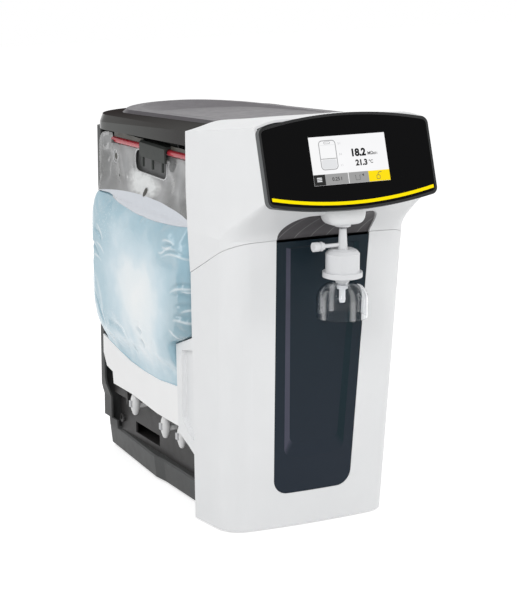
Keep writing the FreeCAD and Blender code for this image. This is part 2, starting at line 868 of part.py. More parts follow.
def make_shells():
    """The lower front shell, the head shell, the vessel panel and the insert above it."""
    back = mm("shell_back_y")
    wall = mm("shell_wall")
    foot = mm("shell_foot_gap")
    high = mm("seam_height") + 20
    above = seam_tool(0, True)
    outer = lower_form(0, foot, high, back)
    inner = lower_form(wall, foot - 5, high + 5, back + 20)
    shell = outer.cut(inner)
    for side in (-1, 1):
        tab = grip_form(side, 0)
        shell = shell.fuse(tab)
    for side in (-1, 1):
        shell = shell.cut(grip_pocket(side))
    shell = shell.cut(above).cut(panel_prism(0.3, -30, 30))
    node("front_shell", shaped(shell.removeSplitter()))

    plate = lower_form(mm("panel_step"), foot, high, back)
    plate = plate.cut(lower_form(mm("panel_step") + mm("panel_wall"), foot - 5, high + 5, back + 20))
    plate = plate.common(panel_prism(0, -40, 30))
    pan = recess_form(wall, 0).common(lower_form(mm("panel_step"), foot, high, back))
    panel = plate.fuse(pan).cut(recess_form(0, 8)).cut(above_panel())
    node("vessel_panel", shaped(panel.removeSplitter()))

    head = head_form(0, back).cut(head_form(wall, back + 20))
    head = head.cut(seam_tool(mm("seam_gap"), False))
    clear = 3 * mm("flare_reach")
    head = head.cut(display_form(12, -mm("bezel_depth"), clear))
    head = head.cut(arch_prism(0, mm("face_y") + 30))
    head = head.cut(pod_block(mm("seat_gap") / 2))
    node("head_shell", shaped(head.removeSplitter()))

    step = mm("insert_step")
    insert = head_form(step, back).cut(head_form(step + 2.5, back + 20))
    insert = insert.common(arch_prism(6, mm("face_y") + 12))
    insert = insert.cut(seam_tool(1.5, False)).cut(pod_block(mm("seat_gap")))
    insert = insert.cut(display_form(12, -mm("bezel_depth") - mm("seat_gap"), clear))
    node("head_insert", shaped(biggest(insert)))


def biggest(shape):
    """The largest solid of a shape."""
    return max(shape.Solids, key=lambda solid: solid.Volume)


def above_panel():
    """Everything above the vessel panel's top edge."""
    width = mm("head_width")
    corner = Vector(-width / 2, mm("front_y"), mm("panel_top"))
    return Part.makeBox(width, mm("overall_depth") / 2, mm("panel_top"), corner)


def grip_pocket(side):
    """The finger recess in the outer face of a grip tab, slanted at its foot."""
    depth = mm("grip_recess_depth")
    near = mm("shell_back_y") - 1
    far = near + mm("grip_reach") * 0.7
    top = mm("grip_top") - 16
    low = mm("grip_bottom") + 14
    points = [(near, low), (far, low + 26), (far, top - 8), (near, top)]
    corners = [Vector(0, y, z) for y, z in points]
    solid = Part.Face(Part.makePolygon(corners + corners[:1])).extrude(Vector(depth + 5, 0, 0))
    edges = [edge for edge in solid.Edges if abs(edge.Vertexes[0].X - edge.Vertexes[1].X) > 1]
    solid = solid.makeFillet(6, edges)
    solid.translate(Vector(grip_x() - depth if side > 0 else -grip_x() - 5, 0, 0))
    return solid


# ---------------------------------------------------------------- display module


def make_display():
    """The bezel, the black glass, the screen, the yellow stripe and the board behind them."""
    glass_low = -mm("glass_thickness")
    depth = mm("bezel_depth")
    gap = mm("seat_gap") / 2
    bezel = display_form(mm("bezel_rim"), -depth, -mm("bezel_step")).cut(display_form(gap, glass_low, depth))
    bezel = bezel.cut(display_form(-mm("bezel_lip"), -2 * depth, depth))
    node("display_bezel", shaped(bezel))

    screen = screen_box(0, -mm("screen_thickness"), 0)
    glass = display_form(0, glass_low, 0).cut(screen_box(gap, -mm("screen_thickness"), 5))
    glass = glass.cut(stripe_form(0.1, -mm("stripe_thickness"), 5))
    node("display_glass", shaped(glass))
    node("display_screen", shaped(screen))
    node("display_stripe", shaped(stripe_form(0, -mm("stripe_thickness"), 0.3)))

    width = mm("display_width") - 2 * mm("display_board_margin")
    board_low = -depth - mm("board_post")
    near = mm("display_board_low")
    high = mm("display_board_height")
    board = Part.makeBox(width, high, mm("board_thickness"), Vector(-width / 2, near, board_low))
    for x in (-width / 2 + 8, width / 2 - 8):
        for y in (near + 6, near + high - 6):
            post = Part.makeCylinder(3, glass_low - board_low, Vector(x, y, board_low))
            board = board.fuse(post)
    for x, y, wide, tall in ((-30, 30, 24, 24), (20, 26, 14, 20), (50, 40, 10, 10)):
        board = board.fuse(Part.makeBox(wide, tall, 3, Vector(x, y, board_low - 3)))
    board.Placement = display_place()
    node("display_board", shaped(board))


def screen_box(grow, low, high):
    """The screen's rectangle between two depths behind the display's face."""
    width = mm("screen_width") + 2 * grow
    height = mm("screen_height") + 2 * grow
    corner = Vector(-width / 2, mm("screen_low") - grow, low)
    solid = Part.makeBox(width, height, high - low, corner)
    solid.Placement = display_place()
    return solid


def stripe_form(grow, low, high):
    """The thin band that follows the display's lower edge."""
    half = mm("display_width") / 2 - 2 + grow
    arch = mm("display_foot_arch")
    edges = []
    foot = mm("stripe_rise") - grow
    top = foot + mm("stripe_height") + 2 * grow
    for rise, way in ((foot, 1), (top, -1)):
        ends = (Vector(-half * way, rise, low), Vector(0, rise - arch, low), Vector(half * way, rise, low))
        edges.append(Part.Arc(*ends).toShape())
    sides = [
        Part.LineSegment(Vector(half, foot, low), Vector(half, top, low)).toShape(),
        Part.LineSegment(Vector(-half, top, low), Vector(-half, foot, low)).toShape(),
    ]
    wire = Part.Wire([edges[0], sides[0], edges[1], sides[1]])
    solid = Part.Face(wire).extrude(Vector(0, 0, high - low))
    solid.Placement = display_place()
    return solid


# ---------------------------------------------------------------- dispenser, filter and bell


def make_dispenser():
    """The pod under the head, its collar and seal, and the spigot that holds the capsule."""
    pod = shaped(pod_form().common(pod_block(0)))
    socket = rod(("0", "axis_y", "pod_foot - 1"), "+z", "spigot_width", "14")
    node("dispense_pod", without(pod, socket))

    collar = rod(("0", "axis_y", "collar_low"), "+z", "collar_width", "collar_height")
    hole = rod(("0", "axis_y", "collar_low - 1"), "+z", "spigot_width", "collar_height + 2")
    node("outlet_collar", without(collar, hole))

    ring = doc.addObject("Part::Torus", "Ring")
    ring.setExpression("Radius1", bound("(ring_width - ring_height) / 2"))
    ring.setExpression("Radius2", bound("ring_height / 2"))
    place(ring, ("0", "axis_y", "collar_low - ring_height / 2"))
    ring_bore = rod(("0", "axis_y", "ring_low - 1"), "+z", "spigot_width", "ring_height + 2")
    node("seal_ring", without(ring, ring_bore))

    reach = "collar_height + ring_height + spigot_reach + 12"
    spigot = rod(("0", "axis_y", "pod_foot + 12"), "-z", "spigot_width", reach)
    bore = rod(("0", "axis_y", "pod_foot + 13"), "-z", "spigot_bore", reach + " + 2")
    node("outlet_spigot", without(spigot, bore))


def make_filter():
    """The filter capsule, its membrane and vent, and the clear bell round its outlet."""
    centre = ("0", "axis_y", "filter_low")
    out = "filter_width / 2"
    inside = "filter_width / 2 - filter_wall"
    bore = "spigot_width / 2 + running_gap"
    housing = turned(
        "FilterHousing",
        centre,
        [
            (out, "0.0"),
            (out, "filter_height - 6"),
            (out + " - 3.5", "filter_height - 2"),
            (out + " - 8", "filter_height"),
            ("inlet_foot_width / 2", "filter_height"),
            ("inlet_top_width / 2", "filter_height + cone_height"),
            (bore, "filter_height + cone_height"),
            (bore, "filter_height - filter_wall"),
            (inside + " - 8", "filter_height - filter_wall"),
            (inside + " - 3.5", "filter_height - filter_wall - 2"),
            (inside, "filter_height - filter_wall - 6"),
            (inside, "0.0"),
        ],
    )
    node("filter_housing", housing)

    flange = "flange_width / 2"
    lower = turned(
        "FilterBase",
        ("0", "axis_y", "filter_low"),
        [
            ("tube_width / 2 - 1.4", "-hub_height - neck_height - tube_reach"),
            ("tube_width / 2 - 0.6", "-hub_height - neck_height - tube_reach"),
            ("tube_width / 2 + 0.6", "-hub_height - neck_height - tube_reach + 5"),
            ("tube_width / 2", "-hub_height - neck_height - tube_reach + 5"),
            ("tube_width / 2", "-hub_height - neck_height"),
            ("hub_width / 2", "-hub_height - neck_height"),
            ("hub_width / 2", "-neck_height"),
            ("neck_width / 2", "-neck_height"),
            ("neck_width / 2 + 1", "-neck_height + 3"),
            (flange + " - 4", "-1.5"),
            (flange, "0.0"),
            (flange, "flange_height"),
            (out + " + running_gap", "flange_height"),
            (out + " + running_gap", "-seat_gap"),
            ("tube_width / 2 - 1.4", "-seat_gap"),
        ],
    )
    node("filter_base", lower)

    pack_low = ("0", "axis_y", "filter_low + 3")
    pack = rod(pack_low, "+z", "membrane_width", "membrane_height")
    core = rod(("0", "axis_y", "filter_low + 2"), "+z", "tube_width", "membrane_height + 2")
    foot = rod(("0", "axis_y", "filter_low - seat_gap"), "+z", "membrane_width - 8", "3 + seat_gap")
    foot_core = rod(("0", "axis_y", "filter_low - 1"), "+z", "tube_width", "5")
    node("filter_membrane", without(joined(pack, foot), joined(core, foot_core)))

    start = "inlet_foot_width / 2 - 1"
    arm = rod((f"-({start}) + 0.6", "axis_y", "vent_height"), "-x", "vent_width", "vent_length - 10")
    collar = rod(("-vent_length + 8", "axis_y", "vent_height"), "-x", "vent_width + 4", "2")
    tip = rod(("-vent_length + 8", "axis_y", "vent_height"), "-x", "vent_width - 1", "10")
    cone = taper(("0", "axis_y", "filter_top"), "+z", "inlet_foot_width", "inlet_top_width", "cone_height")
    node("vent_arm", without(joined(arm, collar, tip), cone))

    cap_start = "-vent_length + 5"
    cap = rod((cap_start, "axis_y", "vent_height"), "-x", "vent_cap_width", "vent_cap_length + 4")
    waist = without(
        rod((cap_start + " - 2", "axis_y", "vent_height"), "-x", "vent_cap_width + 1", "3"),
        rod((cap_start + " - 1", "axis_y", "vent_height"), "-x", "vent_cap_width - 2.4", "5"),
    )
    socket = rod(
        (cap_start + " + 1", "axis_y", "vent_height"), "-x", "vent_width - 1 + 2 * running_gap", "9"
    )
    node("vent_cap", without(cap, waist, socket))

    make_bell()


def make_bell():
    """The clear bell: a domed crown, straight side and open foot, bored to slide on the hub."""
    radius = mm("bell_width") / 2
    wall = mm("bell_wall")
    bend = mm("bell_round")
    bore = mm("hub_width") / 2 + mm("running_gap")
    top = mm("bell_top")
    foot = mm("bell_foot")
    lean = math.sqrt(0.5)

    def profile(reach, inside, high, turn):
        centre = Vector(reach - turn, 0, high - turn)
        return [
            Part.LineSegment(Vector(reach, 0, foot), Vector(reach, 0, high - turn)).toShape(),
            Part.Arc(
                Vector(reach, 0, high - turn),
                centre + Vector(turn * lean, 0, turn * lean),
                Vector(reach - turn, 0, high),
            ).toShape(),
            Part.LineSegment(Vector(reach - turn, 0, high), Vector(inside, 0, high)).toShape(),
        ]

    outer = profile(radius, bore, top, bend)
    inner = profile(radius - wall, bore, top - wall, bend - wall)
    ends = [
        Part.LineSegment(Vector(bore, 0, top), Vector(bore, 0, top - wall)).toShape(),
        Part.LineSegment(Vector(radius - wall, 0, foot), Vector(radius, 0, foot)).toShape(),
    ]
    wire = Part.Wire(Part.sortEdges(outer + inner + ends)[0])
    solid = Part.Face(wire).revolve(Vector(), Vector(0, 0, 1), 360)
    bell = shaped(solid, "BellForm")
    place(bell, ("0", "axis_y", "0"))
    node("bell", bell)


# ---------------------------------------------------------------- base and feet


def base_wire(grow, level):
    """The base's plan outline: straight sides that taper in towards the back."""
    half = mm("base_width") / 2 + grow
    rear = mm("base_rear_width") / 2 + grow
    front = mm("face_y") + mm("shell_lean") + mm("shell_wall") + mm("base_setback") - grow
    back = mm("back_y") - mm("base_overhang") + grow
    wide = mm("base_kink_width") / 2 + grow
    kink_y = back - mm("base_taper")
    straight_y = kink_y - mm("base_straight")
    side = [(half, front), (half, straight_y), (wide, kink_y), (rear, back)]
    points = [Vector(x, y, level) for x, y in side]
    points += [Vector(-x, y, level) for x, y in reversed(side)]
    return Part.makePolygon(points + points[:1])


def make_base():
    """The base pan, open below, with a boss over each of its rubber feet."""
    low = mm("foot_height")
    top = mm("base_top")
    wall = mm("base_wall")
    flare = mm("base_flare")
    outer = Part.makeLoft([base_wire(0, low), base_wire(flare, top - flare), base_wire(flare * 0.2, top)], True, True)
    inner = Part.makeLoft([base_wire(-wall, low - 1), base_wire(flare * 0.2 - wall, top - wall)], True, True)
    pan = outer.cut(inner)
    boss = mm("rubber_foot_width") + 4
    for x, y in foot_spots():
        pan = pan.fuse(Part.makeCylinder(boss / 2, top - wall - low + 0.5, Vector(x, y, low)))
        socket_height = mm("rubber_foot_height") - mm("foot_height")
        pan = pan.cut(Part.makeCylinder(mm("rubber_foot_width") / 2, socket_height, Vector(x, y, low)))
    node("base_pan", shaped(pan.cut(base_screws_form()).removeSplitter()))
    feet = []
    for x, y in foot_spots():
        foot = doc.addObject("Part::Cylinder", "Foot")
        foot.setExpression("Radius", bound("rubber_foot_width / 2"))
        foot.setExpression("Height", bound("rubber_foot_height"))
        foot.Placement.Base = Vector(x, y, 0)
        feet.append(foot)
    node("rubber_feet", group(*feet))


def foot_spots():
    """Where the four feet stand."""
    rear = mm("base_rear_width") / 2 - mm("rubber_foot_width")
    front = mm("base_width") / 2 - mm("rubber_foot_width")
    front_y = mm("face_y") + mm("shell_lean") + 30
    rear_y = mm("back_y") - 30
    return [(-front, front_y), (front, front_y), (-rear, rear_y), (rear, rear_y)]


# ---------------------------------------------------------------- lid and rear housing


def under_lid(grow=0.0):
    """Everything below the lid's sloping lower edge, as a tool."""
    near = mm("shell_back_y") - 20
    far = mm("back_y") + 40
    width = mm("head_width")
    points = []
    for y in (near, far):
        points.append(Vector(-width, y, lid_low(y) - grow))
    points += [Vector(-width, far, -50), Vector(-width, near, -50)]
    return Part.Face(Part.makePolygon(points + points[:1])).extrude(Vector(2 * width, 0, 0))


def lid_low(y):
    """The height of the lid's lower edge at one depth."""
    return mm("lid_low") - mm("lid_low_slope") * (y - mm("shell_back_y"))


def edge_height(y):
    """The height of the lid's outer top edge at one depth."""
    return mm("head_back_height") - mm("lid_slope") * (y - mm("shell_back_y"))


def crown_height(y):
    """The height of the cover's flat crown at one depth."""
    return mm("head_back_height") + mm("head_rim_rise") - mm("crown_slope") * (y - mm("shell_back_y"))


def lid_wire(half, near, far, corner, height):
    """A plan outline with two round back corners, laid on a sloping plane given by its height."""
    bend = corner * (1 - math.sqrt(0.5))

    def at(x, y):
        return Vector(x, y, height(y))

    edges = [
        Part.LineSegment(at(half, near), at(half, far - corner)).toShape(),
        Part.Arc(at(half, far - corner), at(half - bend, far - bend), at(half - corner, far)).toShape(),
        Part.LineSegment(at(half - corner, far), at(corner - half, far)).toShape(),
        Part.Arc(at(corner - half, far), at(bend - half, far - bend), at(-half, far - corner)).toShape(),
        Part.LineSegment(at(-half, far - corner), at(-half, near)).toShape(),
        Part.LineSegment(at(-half, near), at(half, near)).toShape(),
    ]
    return Part.Wire(edges)


def lid_form(inset):
    """The lid's solid: upright sides, a rounded shoulder, then a ledge that slopes up to the cover."""
    half = mm("lid_width") / 2 - inset
    near = mm("shell_back_y") + mm("seat_gap") + inset
    far = mm("back_y") - inset
    corner = mm("lid_corner") - inset
    sill_half = mm("lid_width") / 2 - mm("ledge_width")
    sill_far = mm("back_y") - mm("ledge_back")
    skirt = mm("cover_thickness") + inset

    def low_plane(y):
        return lid_low(y) - 40

    def edge_plane(y):
        return edge_height(y) - inset

    def shoulder_plane(y):
        rise = mm("head_back_height") + mm("shoulder_rise") - inset
        return rise - mm("shoulder_slope") * (y - mm("shell_back_y"))

    def sill_plane(y):
        return crown_height(y) - skirt

    bend = mm("shoulder_inset")
    outer = lid_wire(half, near, far, corner, edge_plane)
    sides = Part.makeLoft([lid_wire(half, near, far, corner, low_plane), outer], True, True)
    shoulder = lid_wire(half - bend, near, far - bend / 2, corner - bend, shoulder_plane)
    sill = lid_wire(sill_half, near, sill_far, mm("cover_corner") + mm("cover_skirt"), sill_plane)
    return sides.fuse([Part.makeLoft([outer, shoulder], True, True), Part.makeLoft([shoulder, sill], True, True)])


def make_lid():
    """The dark lid frame with its side fascias, and the dished cover that sits on it."""
    near = mm("shell_back_y") + mm("seat_gap")
    hollow = lid_form(mm("lid_wall"))
    rib_x = -mm("bay_wall_left") + mm("bay_wall_thickness") / 2
    rib = Part.makeBox(12, mm("bay_length"), 200, Vector(rib_x - 6, near, mm("lid_low") - 60))
    frame = lid_form(0).cut(hollow.cut(rib)).cut(under_lid())
    node("lid_frame", shaped(biggest(frame.removeSplitter())))

    node("top_cover", shaped(cover_form().cut(dish_tool())))


def cover_half():
    """Half the width of the cover's crown."""
    return mm("head_width") / 2 - mm("cover_margin")


def cover_form():
    """The cover's solid: a sloping skirt round a crown that arches up towards the back."""
    half = cover_half()
    near = mm("shell_back_y") + mm("seat_gap")
    far = mm("back_y") - mm("ledge_back")
    skirt = mm("cover_skirt")
    corner = mm("cover_corner")

    def foot_plane(y):
        return crown_height(y) - mm("cover_thickness")

    def high_plane(y):
        return crown_height(y) + mm("cover_arch")

    foot = lid_wire(half + skirt, near, far, corner + skirt, foot_plane)
    high = lid_wire(half - skirt / 3, near, far - mm("cover_rear_skirt"), corner - skirt / 3, high_plane)
    return Part.makeLoft([foot, high], True, True).cut(over_cover())


def over_cover():
    """Everything above the cover's crown: nearly flat at its front, an arch at its back."""
    half = cover_half()
    reach = half + mm("ledge_width")
    sky = mm("head_front_height") + mm("display_side")
    near = mm("shell_back_y") - 1
    far = mm("back_y") + 1
    wires = []
    for y, arch, middle in (
        (near, mm("cover_front_arch"), crown_height(near)),
        (far, mm("cover_arch"), crown_height(far) + mm("cover_arch")),
    ):
        low = middle - arch * (reach / half) ** 2
        ends = [Vector(-reach, y, low), Vector(0, y, middle), Vector(reach, y, low)]
        top = [Vector(reach, y, low), Vector(reach, y, sky), Vector(-reach, y, sky), Vector(-reach, y, low)]
        wires.append(Part.Wire([Part.Arc(*ends).toShape()] + Part.makePolygon(top).Edges))
    return Part.makeLoft(wires, True, True)


def dish_tool():
    """The shallow dish in the cover: it starts level at the front and deepens to its back wall."""
    half = cover_half()
    near = mm("shell_back_y") - 1
    far = mm("back_y") - mm("ledge_back") - mm("cover_rear_skirt") + 6
    floor_far = far - mm("dish_rear_wall")
    wall = mm("dish_wall")
    slope = mm("crown_slope") + mm("dish_depth") / (floor_far - near)
    start = crown_height(near) - mm("cover_front_arch") / 2

    def floor_plane(y):
        return start - slope * (y - near)

    def rim_plane(y):
        return crown_height(y) + mm("cover_arch") + 1

    floor = lid_wire(half - wall, near, floor_far, mm("cover_corner") - wall, floor_plane)
    rim = lid_wire(half + 2, near, far, mm("cover_corner"), rim_plane)
    return Part.makeLoft([floor, rim], True, True)


def make_rear():
    """The rear housing with its vents, and the two shelves it closes the bays with."""
    half = mm("rear_width") / 2
    near = mm("rear_y")
    back = mm("rear_face_y")
    deep = back - near
    low = mm("base_top")
    wall = mm("rear_wall")

    def column(inset):
        corner = Vector(inset - half, near, low + inset)
        solid = Part.makeBox(2 * (half - inset), deep - inset, mm("head_back_height"), corner)
        upright = [
            edge
            for edge in solid.Edges
            if abs(edge.Vertexes[0].Z - edge.Vertexes[1].Z) > 1 and edge.Vertexes[0].Y > near + 5
        ]
        return solid.makeFillet(mm("rear_corner") - inset, upright)

    hollow = column(wall).common(rear_gate(wall, near, deep)).common(under_lid(wall))
    hollow.translate(Vector(0, -0.5, 0))
    shell = column(0).common(rear_gate(0, near, deep)).cut(hollow).common(under_lid())
    for index in range(6):
        corner = Vector(mm("slot_start"), back - 2 * wall, mm("slot_low") + mm("slot_pitch") * index)
        slot = Part.makeBox(mm("slot_length"), 3 * wall, mm("slot_height"), corner)
        shell = shell.cut(slot)
    shell = shell.cut(inlet_block(0)).cut(switch_block(0))
    for x in fitting_spots():
        spot = Vector(x, back - 2 * wall, mm("fitting_height"))
        shell = shell.cut(Part.makeCylinder(mm("hose_tail_width") / 2 + 1, 3 * wall, spot, Vector(0, 1, 0)))
    for z in (mm("hinge_low"), mm("hinge_high")):
        for lug_z in (z - mm("hinge_height") / 2 - 5.5, z + mm("hinge_height") / 2 + 0.5):
            shell = shell.fuse(hinge_lug(lug_z))
    shell = shell.cut(hinge_pins_form(0)).cut(base_screws_form())
    node("rear_housing", shaped(biggest(shell.removeSplitter())))


def rear_gate(inset, near, deep):
    """The rear housing's outline from behind: full width above, stepping in to its foot."""
    low = mm("base_top")
    step = mm("rear_step")
    full = mm("rear_width") / 2 - inset
    shoulder = mm("rear_shoulder_width") / 2 - inset
    foot = mm("rear_foot_width") / 2 - inset
    side = [
        (foot, low - 1),
        (foot + 1, low + step * 0.15),
        (shoulder, low + step * 0.22),
        (shoulder, low + step * 0.6),
        (full - 2, low + step * 0.84),
        (full + 1, low + step * 1.04),
        (full + 1, mm("head_front_height")),
    ]
    points = [Vector(x, near - 2, z) for x, z in side]
    points += [Vector(-x, near - 2, z) for x, z in reversed(side)]
    return Part.Face(Part.makePolygon(points + points[:1])).extrude(Vector(0, deep + 6, 0))


def hinge_lug(low):
    """One lug of the door hinge, on the right front corner of the rear housing."""
    radius = mm("hinge_width") / 2
    x = mm("hinge_x")
    y = mm("hinge_y")
    eye = Part.makeCylinder(radius, 5, Vector(x, y, low))
    arm = Part.makeBox(2 * radius, mm("rear_y") + 8 - y, 5, Vector(x - radius, y, low))
    root = Part.makeBox(12, 8, 5, Vector(x - radius - 10, mm("rear_y"), low))
    return eye.fuse([arm, root])


def hinge_pins_form(grow):
    """The two hinge pins' round forms, grown by a clearance."""
    pins = []
    for z in (mm("hinge_low"), mm("hinge_high")):
        length = mm("hinge_height") + 11
        start = Vector(mm("hinge_x"), mm("hinge_y"), z - length / 2)
        pins.append(Part.makeCylinder(mm("hinge_pin_width") / 2 + grow, length, start))
    return Part.makeCompound(pins)


def fitting_spots():
    """Where the two hose fittings pass through the back."""
    return (-mm("fitting_pitch") / 2, mm("fitting_pitch") / 2)


def inlet_block(grow):
    """The outer block of the mains inlet."""
    width = mm("inlet_width") + 2 * mm("inlet_wall") + 2 * grow
    high = mm("inlet_high") + 2 * mm("inlet_wall") + 2 * grow
    corner = Vector(-mm("inlet_x") - width / 2, mm("rear_face_y") - mm("inlet_depth"), mm("inlet_height") - high / 2)
    return Part.makeBox(width, mm("inlet_depth") + 1.5, high, corner)


def switch_block(grow):
    """The outer block of the rear power switch."""
    width = mm("switch_width") + 4 + 2 * grow
    high = mm("switch_high") + 4 + 2 * grow
    near = mm("rear_face_y") - mm("switch_depth")
    corner = Vector(-mm("inlet_x") - width / 2, near, mm("switch_height") - high / 2)
    return Part.makeBox(width, mm("switch_depth") + 1.5, high, corner)


# ---------------------------------------------------------------- chassis and bag bay


def make_chassis():
    """The bulkhead behind the white shells and the wall between the two bays."""
    wall = mm("shell_wall")
    y = mm("shell_back_y") - wall
    low = mm("base_top")
    split = mm("seam_height") - mm("seam_slope") * mm("shell_depth") + wall
    width = mm("head_width")
    slab = Part.makeBox(width, wall, mm("head_front_height"), Vector(-width / 2, y, low))
    inset = wall + mm("seat_gap") / 3
    lower = slab.common(lower_form(inset, low - 5, split, mm("shell_back_y") + 20))
    upper = slab.common(head_form(inset, mm("shell_back_y") + 20))
    upper = upper.cut(Part.makeBox(width, 50, split, Vector(-width / 2, y - 20, 0)))
    plate = lower.fuse(upper)
    for side in (-1, 1):
        plate = plate.cut(grip_form(side, mm("seat_gap")))
        boss = Part.makeBox(16, 16, 18, Vector(side * screw_x() - 8, y - 16, low))
        plate = plate.fuse(boss)
    spot = Vector(mm("cartridge_x"), y - 5, hose_level())
    plate = plate.cut(Part.makeCylinder(mm("hose_width") / 2 + 3, wall + 10, spot, Vector(0, 1, 0)))
    plate = plate.cut(base_screws_form())
    node("front_bulkhead", shaped(biggest(plate.removeSplitter())))

    left = -mm("bay_wall_left")
    thick = mm("bay_wall_thickness")
    near = mm("shell_back_y")
    wall_plate = Part.makeBox(thick, mm("bay_length"), mm("head_back_height"), Vector(left, near, low))
    arms = []
    reach = mm("rod_offset") + mm("rod_width") / 2 + 2
    for y in saddle_spots():
        high = mm("saddle_height")
        corner = Vector(-reach, y, rod_level(y + mm("saddle_width") / 2) - high)
        arms.append(Part.makeBox(reach + left, mm("saddle_width"), high, corner))
    pivot = mm("hook_pivot_z")
    for y in lug_spots():
        arms.append(Part.makeBox(mm("hook_back") + left + 4.5, 4, 9, Vector(-mm("hook_back") - 4.5, y, pivot - 4.5)))
    arms += backplate()
    chassis = wall_plate.fuse(arms)
    start = Vector(-mm("rod_offset"), rod_start(), rod_level(rod_start()))
    rod_form = Part.makeCylinder(mm("rod_width") / 2, mm("rod_length"), start, Vector(0, 1, -mm("rod_slope")))
    pin_start = Vector(-mm("hook_back"), mm("hook_y") - mm("hook_width") / 2 - 5, pivot)
    pin_form = Part.makeCylinder(mm("pin_width") / 2, mm("hook_width") + 10, pin_start, Vector(0, 1, 0))
    chassis = chassis.cut(rod_form).cut(pin_form).common(under_lid())
    node("bay_wall", shaped(chassis.removeSplitter()))


def backplate():
    """The plate that closes the window behind the film, on a web at each end."""
    thick = mm("backplate_thickness")
    near = mm("hook_y") + mm("film_window_shift") - mm("film_window_width") / 2 + 3
    width = mm("film_window_width") - 6 + mm("backplate_overhang")
    high = mm("backplate_height")
    low = mm("rod_height") - mm("rod_width") - high
    x = mm("backplate_gap") - mm("rod_offset")
    reach = -mm("bay_wall_left") - x
    webs = [Part.makeBox(reach, thick, high, Vector(x, y, low)) for y in (near, near + width - thick)]
    return [Part.makeBox(thick, width, high, Vector(x, near, low))] + webs


def rod_start():
    """The front end of the bag's hanger rod."""
    return mm("shell_back_y") + mm("rod_setback")


def rod_level(y):
    """The height of the hanger rod's middle line at one depth: it falls gently to the back."""
    middle = rod_start() + mm("rod_length") / 2
    return mm("rod_height") - mm("rod_slope") * (y - middle)


def saddle_spots():
    """The front faces of the two saddles that carry the hanger rod."""
    width = mm("saddle_width")
    return (rod_start() + 4, rod_start() + mm("rod_length") - 4 - width)


def lug_spots():
    """The front faces of the two lugs that hold the hook's pin."""
    half = mm("hook_width") / 2
    return (mm("hook_y") - half - 4.5, mm("hook_y") + half + 0.5)


def screw_x():
    """How far from the middle the front base screws are."""
    return mm("bay_wall_left") + 4


def hose_level():
    """The height at which the product hose passes the bulkhead."""
    return mm("seam_height") + 43


def base_screws_form():
    """The four screws that hold the bulkhead and the rear housing down on the base."""
    screws = []
    deck = mm("base_top") - mm("base_wall")
    front_y = mm("shell_back_y") - mm("shell_wall") - 8
    back_y = (mm("rear_y") + mm("rear_face_y")) / 2
    for x, y in ((-screw_x(), front_y), (screw_x(), front_y), (-40, back_y), (40, back_y)):
        shank = Part.makeCylinder(mm("screw_width") / 2, mm("screw_length"), Vector(x, y, deck - 0.5))
        head_height = mm("screw_head_height")
        head = Part.makeCylinder(mm("screw_head_width") / 2, head_height, Vector(x, y, deck - head_height))
        screws.append(shank.fuse(head))
    return Part.makeCompound(screws)


def make_bag_hanger():
    """The red rod that carries the bag, and the sprung hook that closes over it."""
    hanger = doc.addObject("Part::Cylinder", "Hanger")
    hanger.Placement = Placement(Vector(), Rotation(Vector(0, 0, 1), Vector(0, 1, -mm("rod_slope"))))
    hanger.setExpression("Radius", bound("rod_width / 2"))
    hanger.setExpression("Height", bound("rod_length"))
    place(hanger, ("-rod_offset", "shell_back_y + rod_setback", "rod_height + rod_slope * rod_length / 2"))
    node("hanger_rod", hanger)

    back = "-hook_back"
    front = "-(hook_back + hook_arm)"
    half = "hook_thickness / 2"
    hook = extruded(
        "Hook",
        "XZ_Plane",
        [
            (back, "hook_pivot_z + " + half),
            (back, "hook_pivot_z - " + half),
            (front + " + hook_thickness + 3", "hook_pivot_z - " + half),
            (front + " + hook_thickness", "hook_pivot_z - " + half + " - 3"),
            (front + " + hook_thickness", "hook_pivot_z - hook_drop"),
            (front, "hook_pivot_z - hook_drop"),
            (front, "hook_pivot_z - " + half),
            (front + " + 3", "hook_pivot_z + " + half),
        ],
        "hook_width",
        ("0", "hook_y", "0"),
    )
    barrel = rod((back, "hook_y - hook_width / 2", "hook_pivot_z"), "+y", "9", "hook_width")
    ribs = []
    for step in (-1, 0, 1):
        rib_y = f"hook_y - 2 + {step} * hook_rib_pitch"
        rib_low = "hook_pivot_z - hook_drop - hook_rib"
        ribs.append(block((front, rib_y, rib_low), ("hook_thickness", "4", "hook_rib + 1")))
    bore = rod(
        (back, "hook_y - hook_width / 2 - 1", "hook_pivot_z"), "+y", "pin_width + 2 * running_gap", "hook_width + 2"
    )
    node("hook_latch", without(joined(hook, barrel, *ribs), bore))
    pin = rod((back, "hook_y - hook_width / 2 - 5", "hook_pivot_z"), "+y", "pin_width", "hook_width + 10")
    node("latch_pin", pin)


BAG_LEVELS = (
    # share of the height, outer side's inset from the machine's side, inner side's gap to the bay wall
    (0.00, 40.0, 10.0),
    (0.05, 30.0, 2.0),
    (0.13, 24.5, 0.8),
    (0.24, 19.5, 0.8),
    (0.31, 11.5, 0.8),
    (0.42, 4.5, 0.8),
    (0.52, 2.0, 0.8),
    (0.66, 2.0, 0.8),
    (0.80, 3.0, 2.0),
    (0.90, 5.0, 8.0),
    (0.96, 8.5, 24.0),
    (1.00, 14.0, 42.0),
)


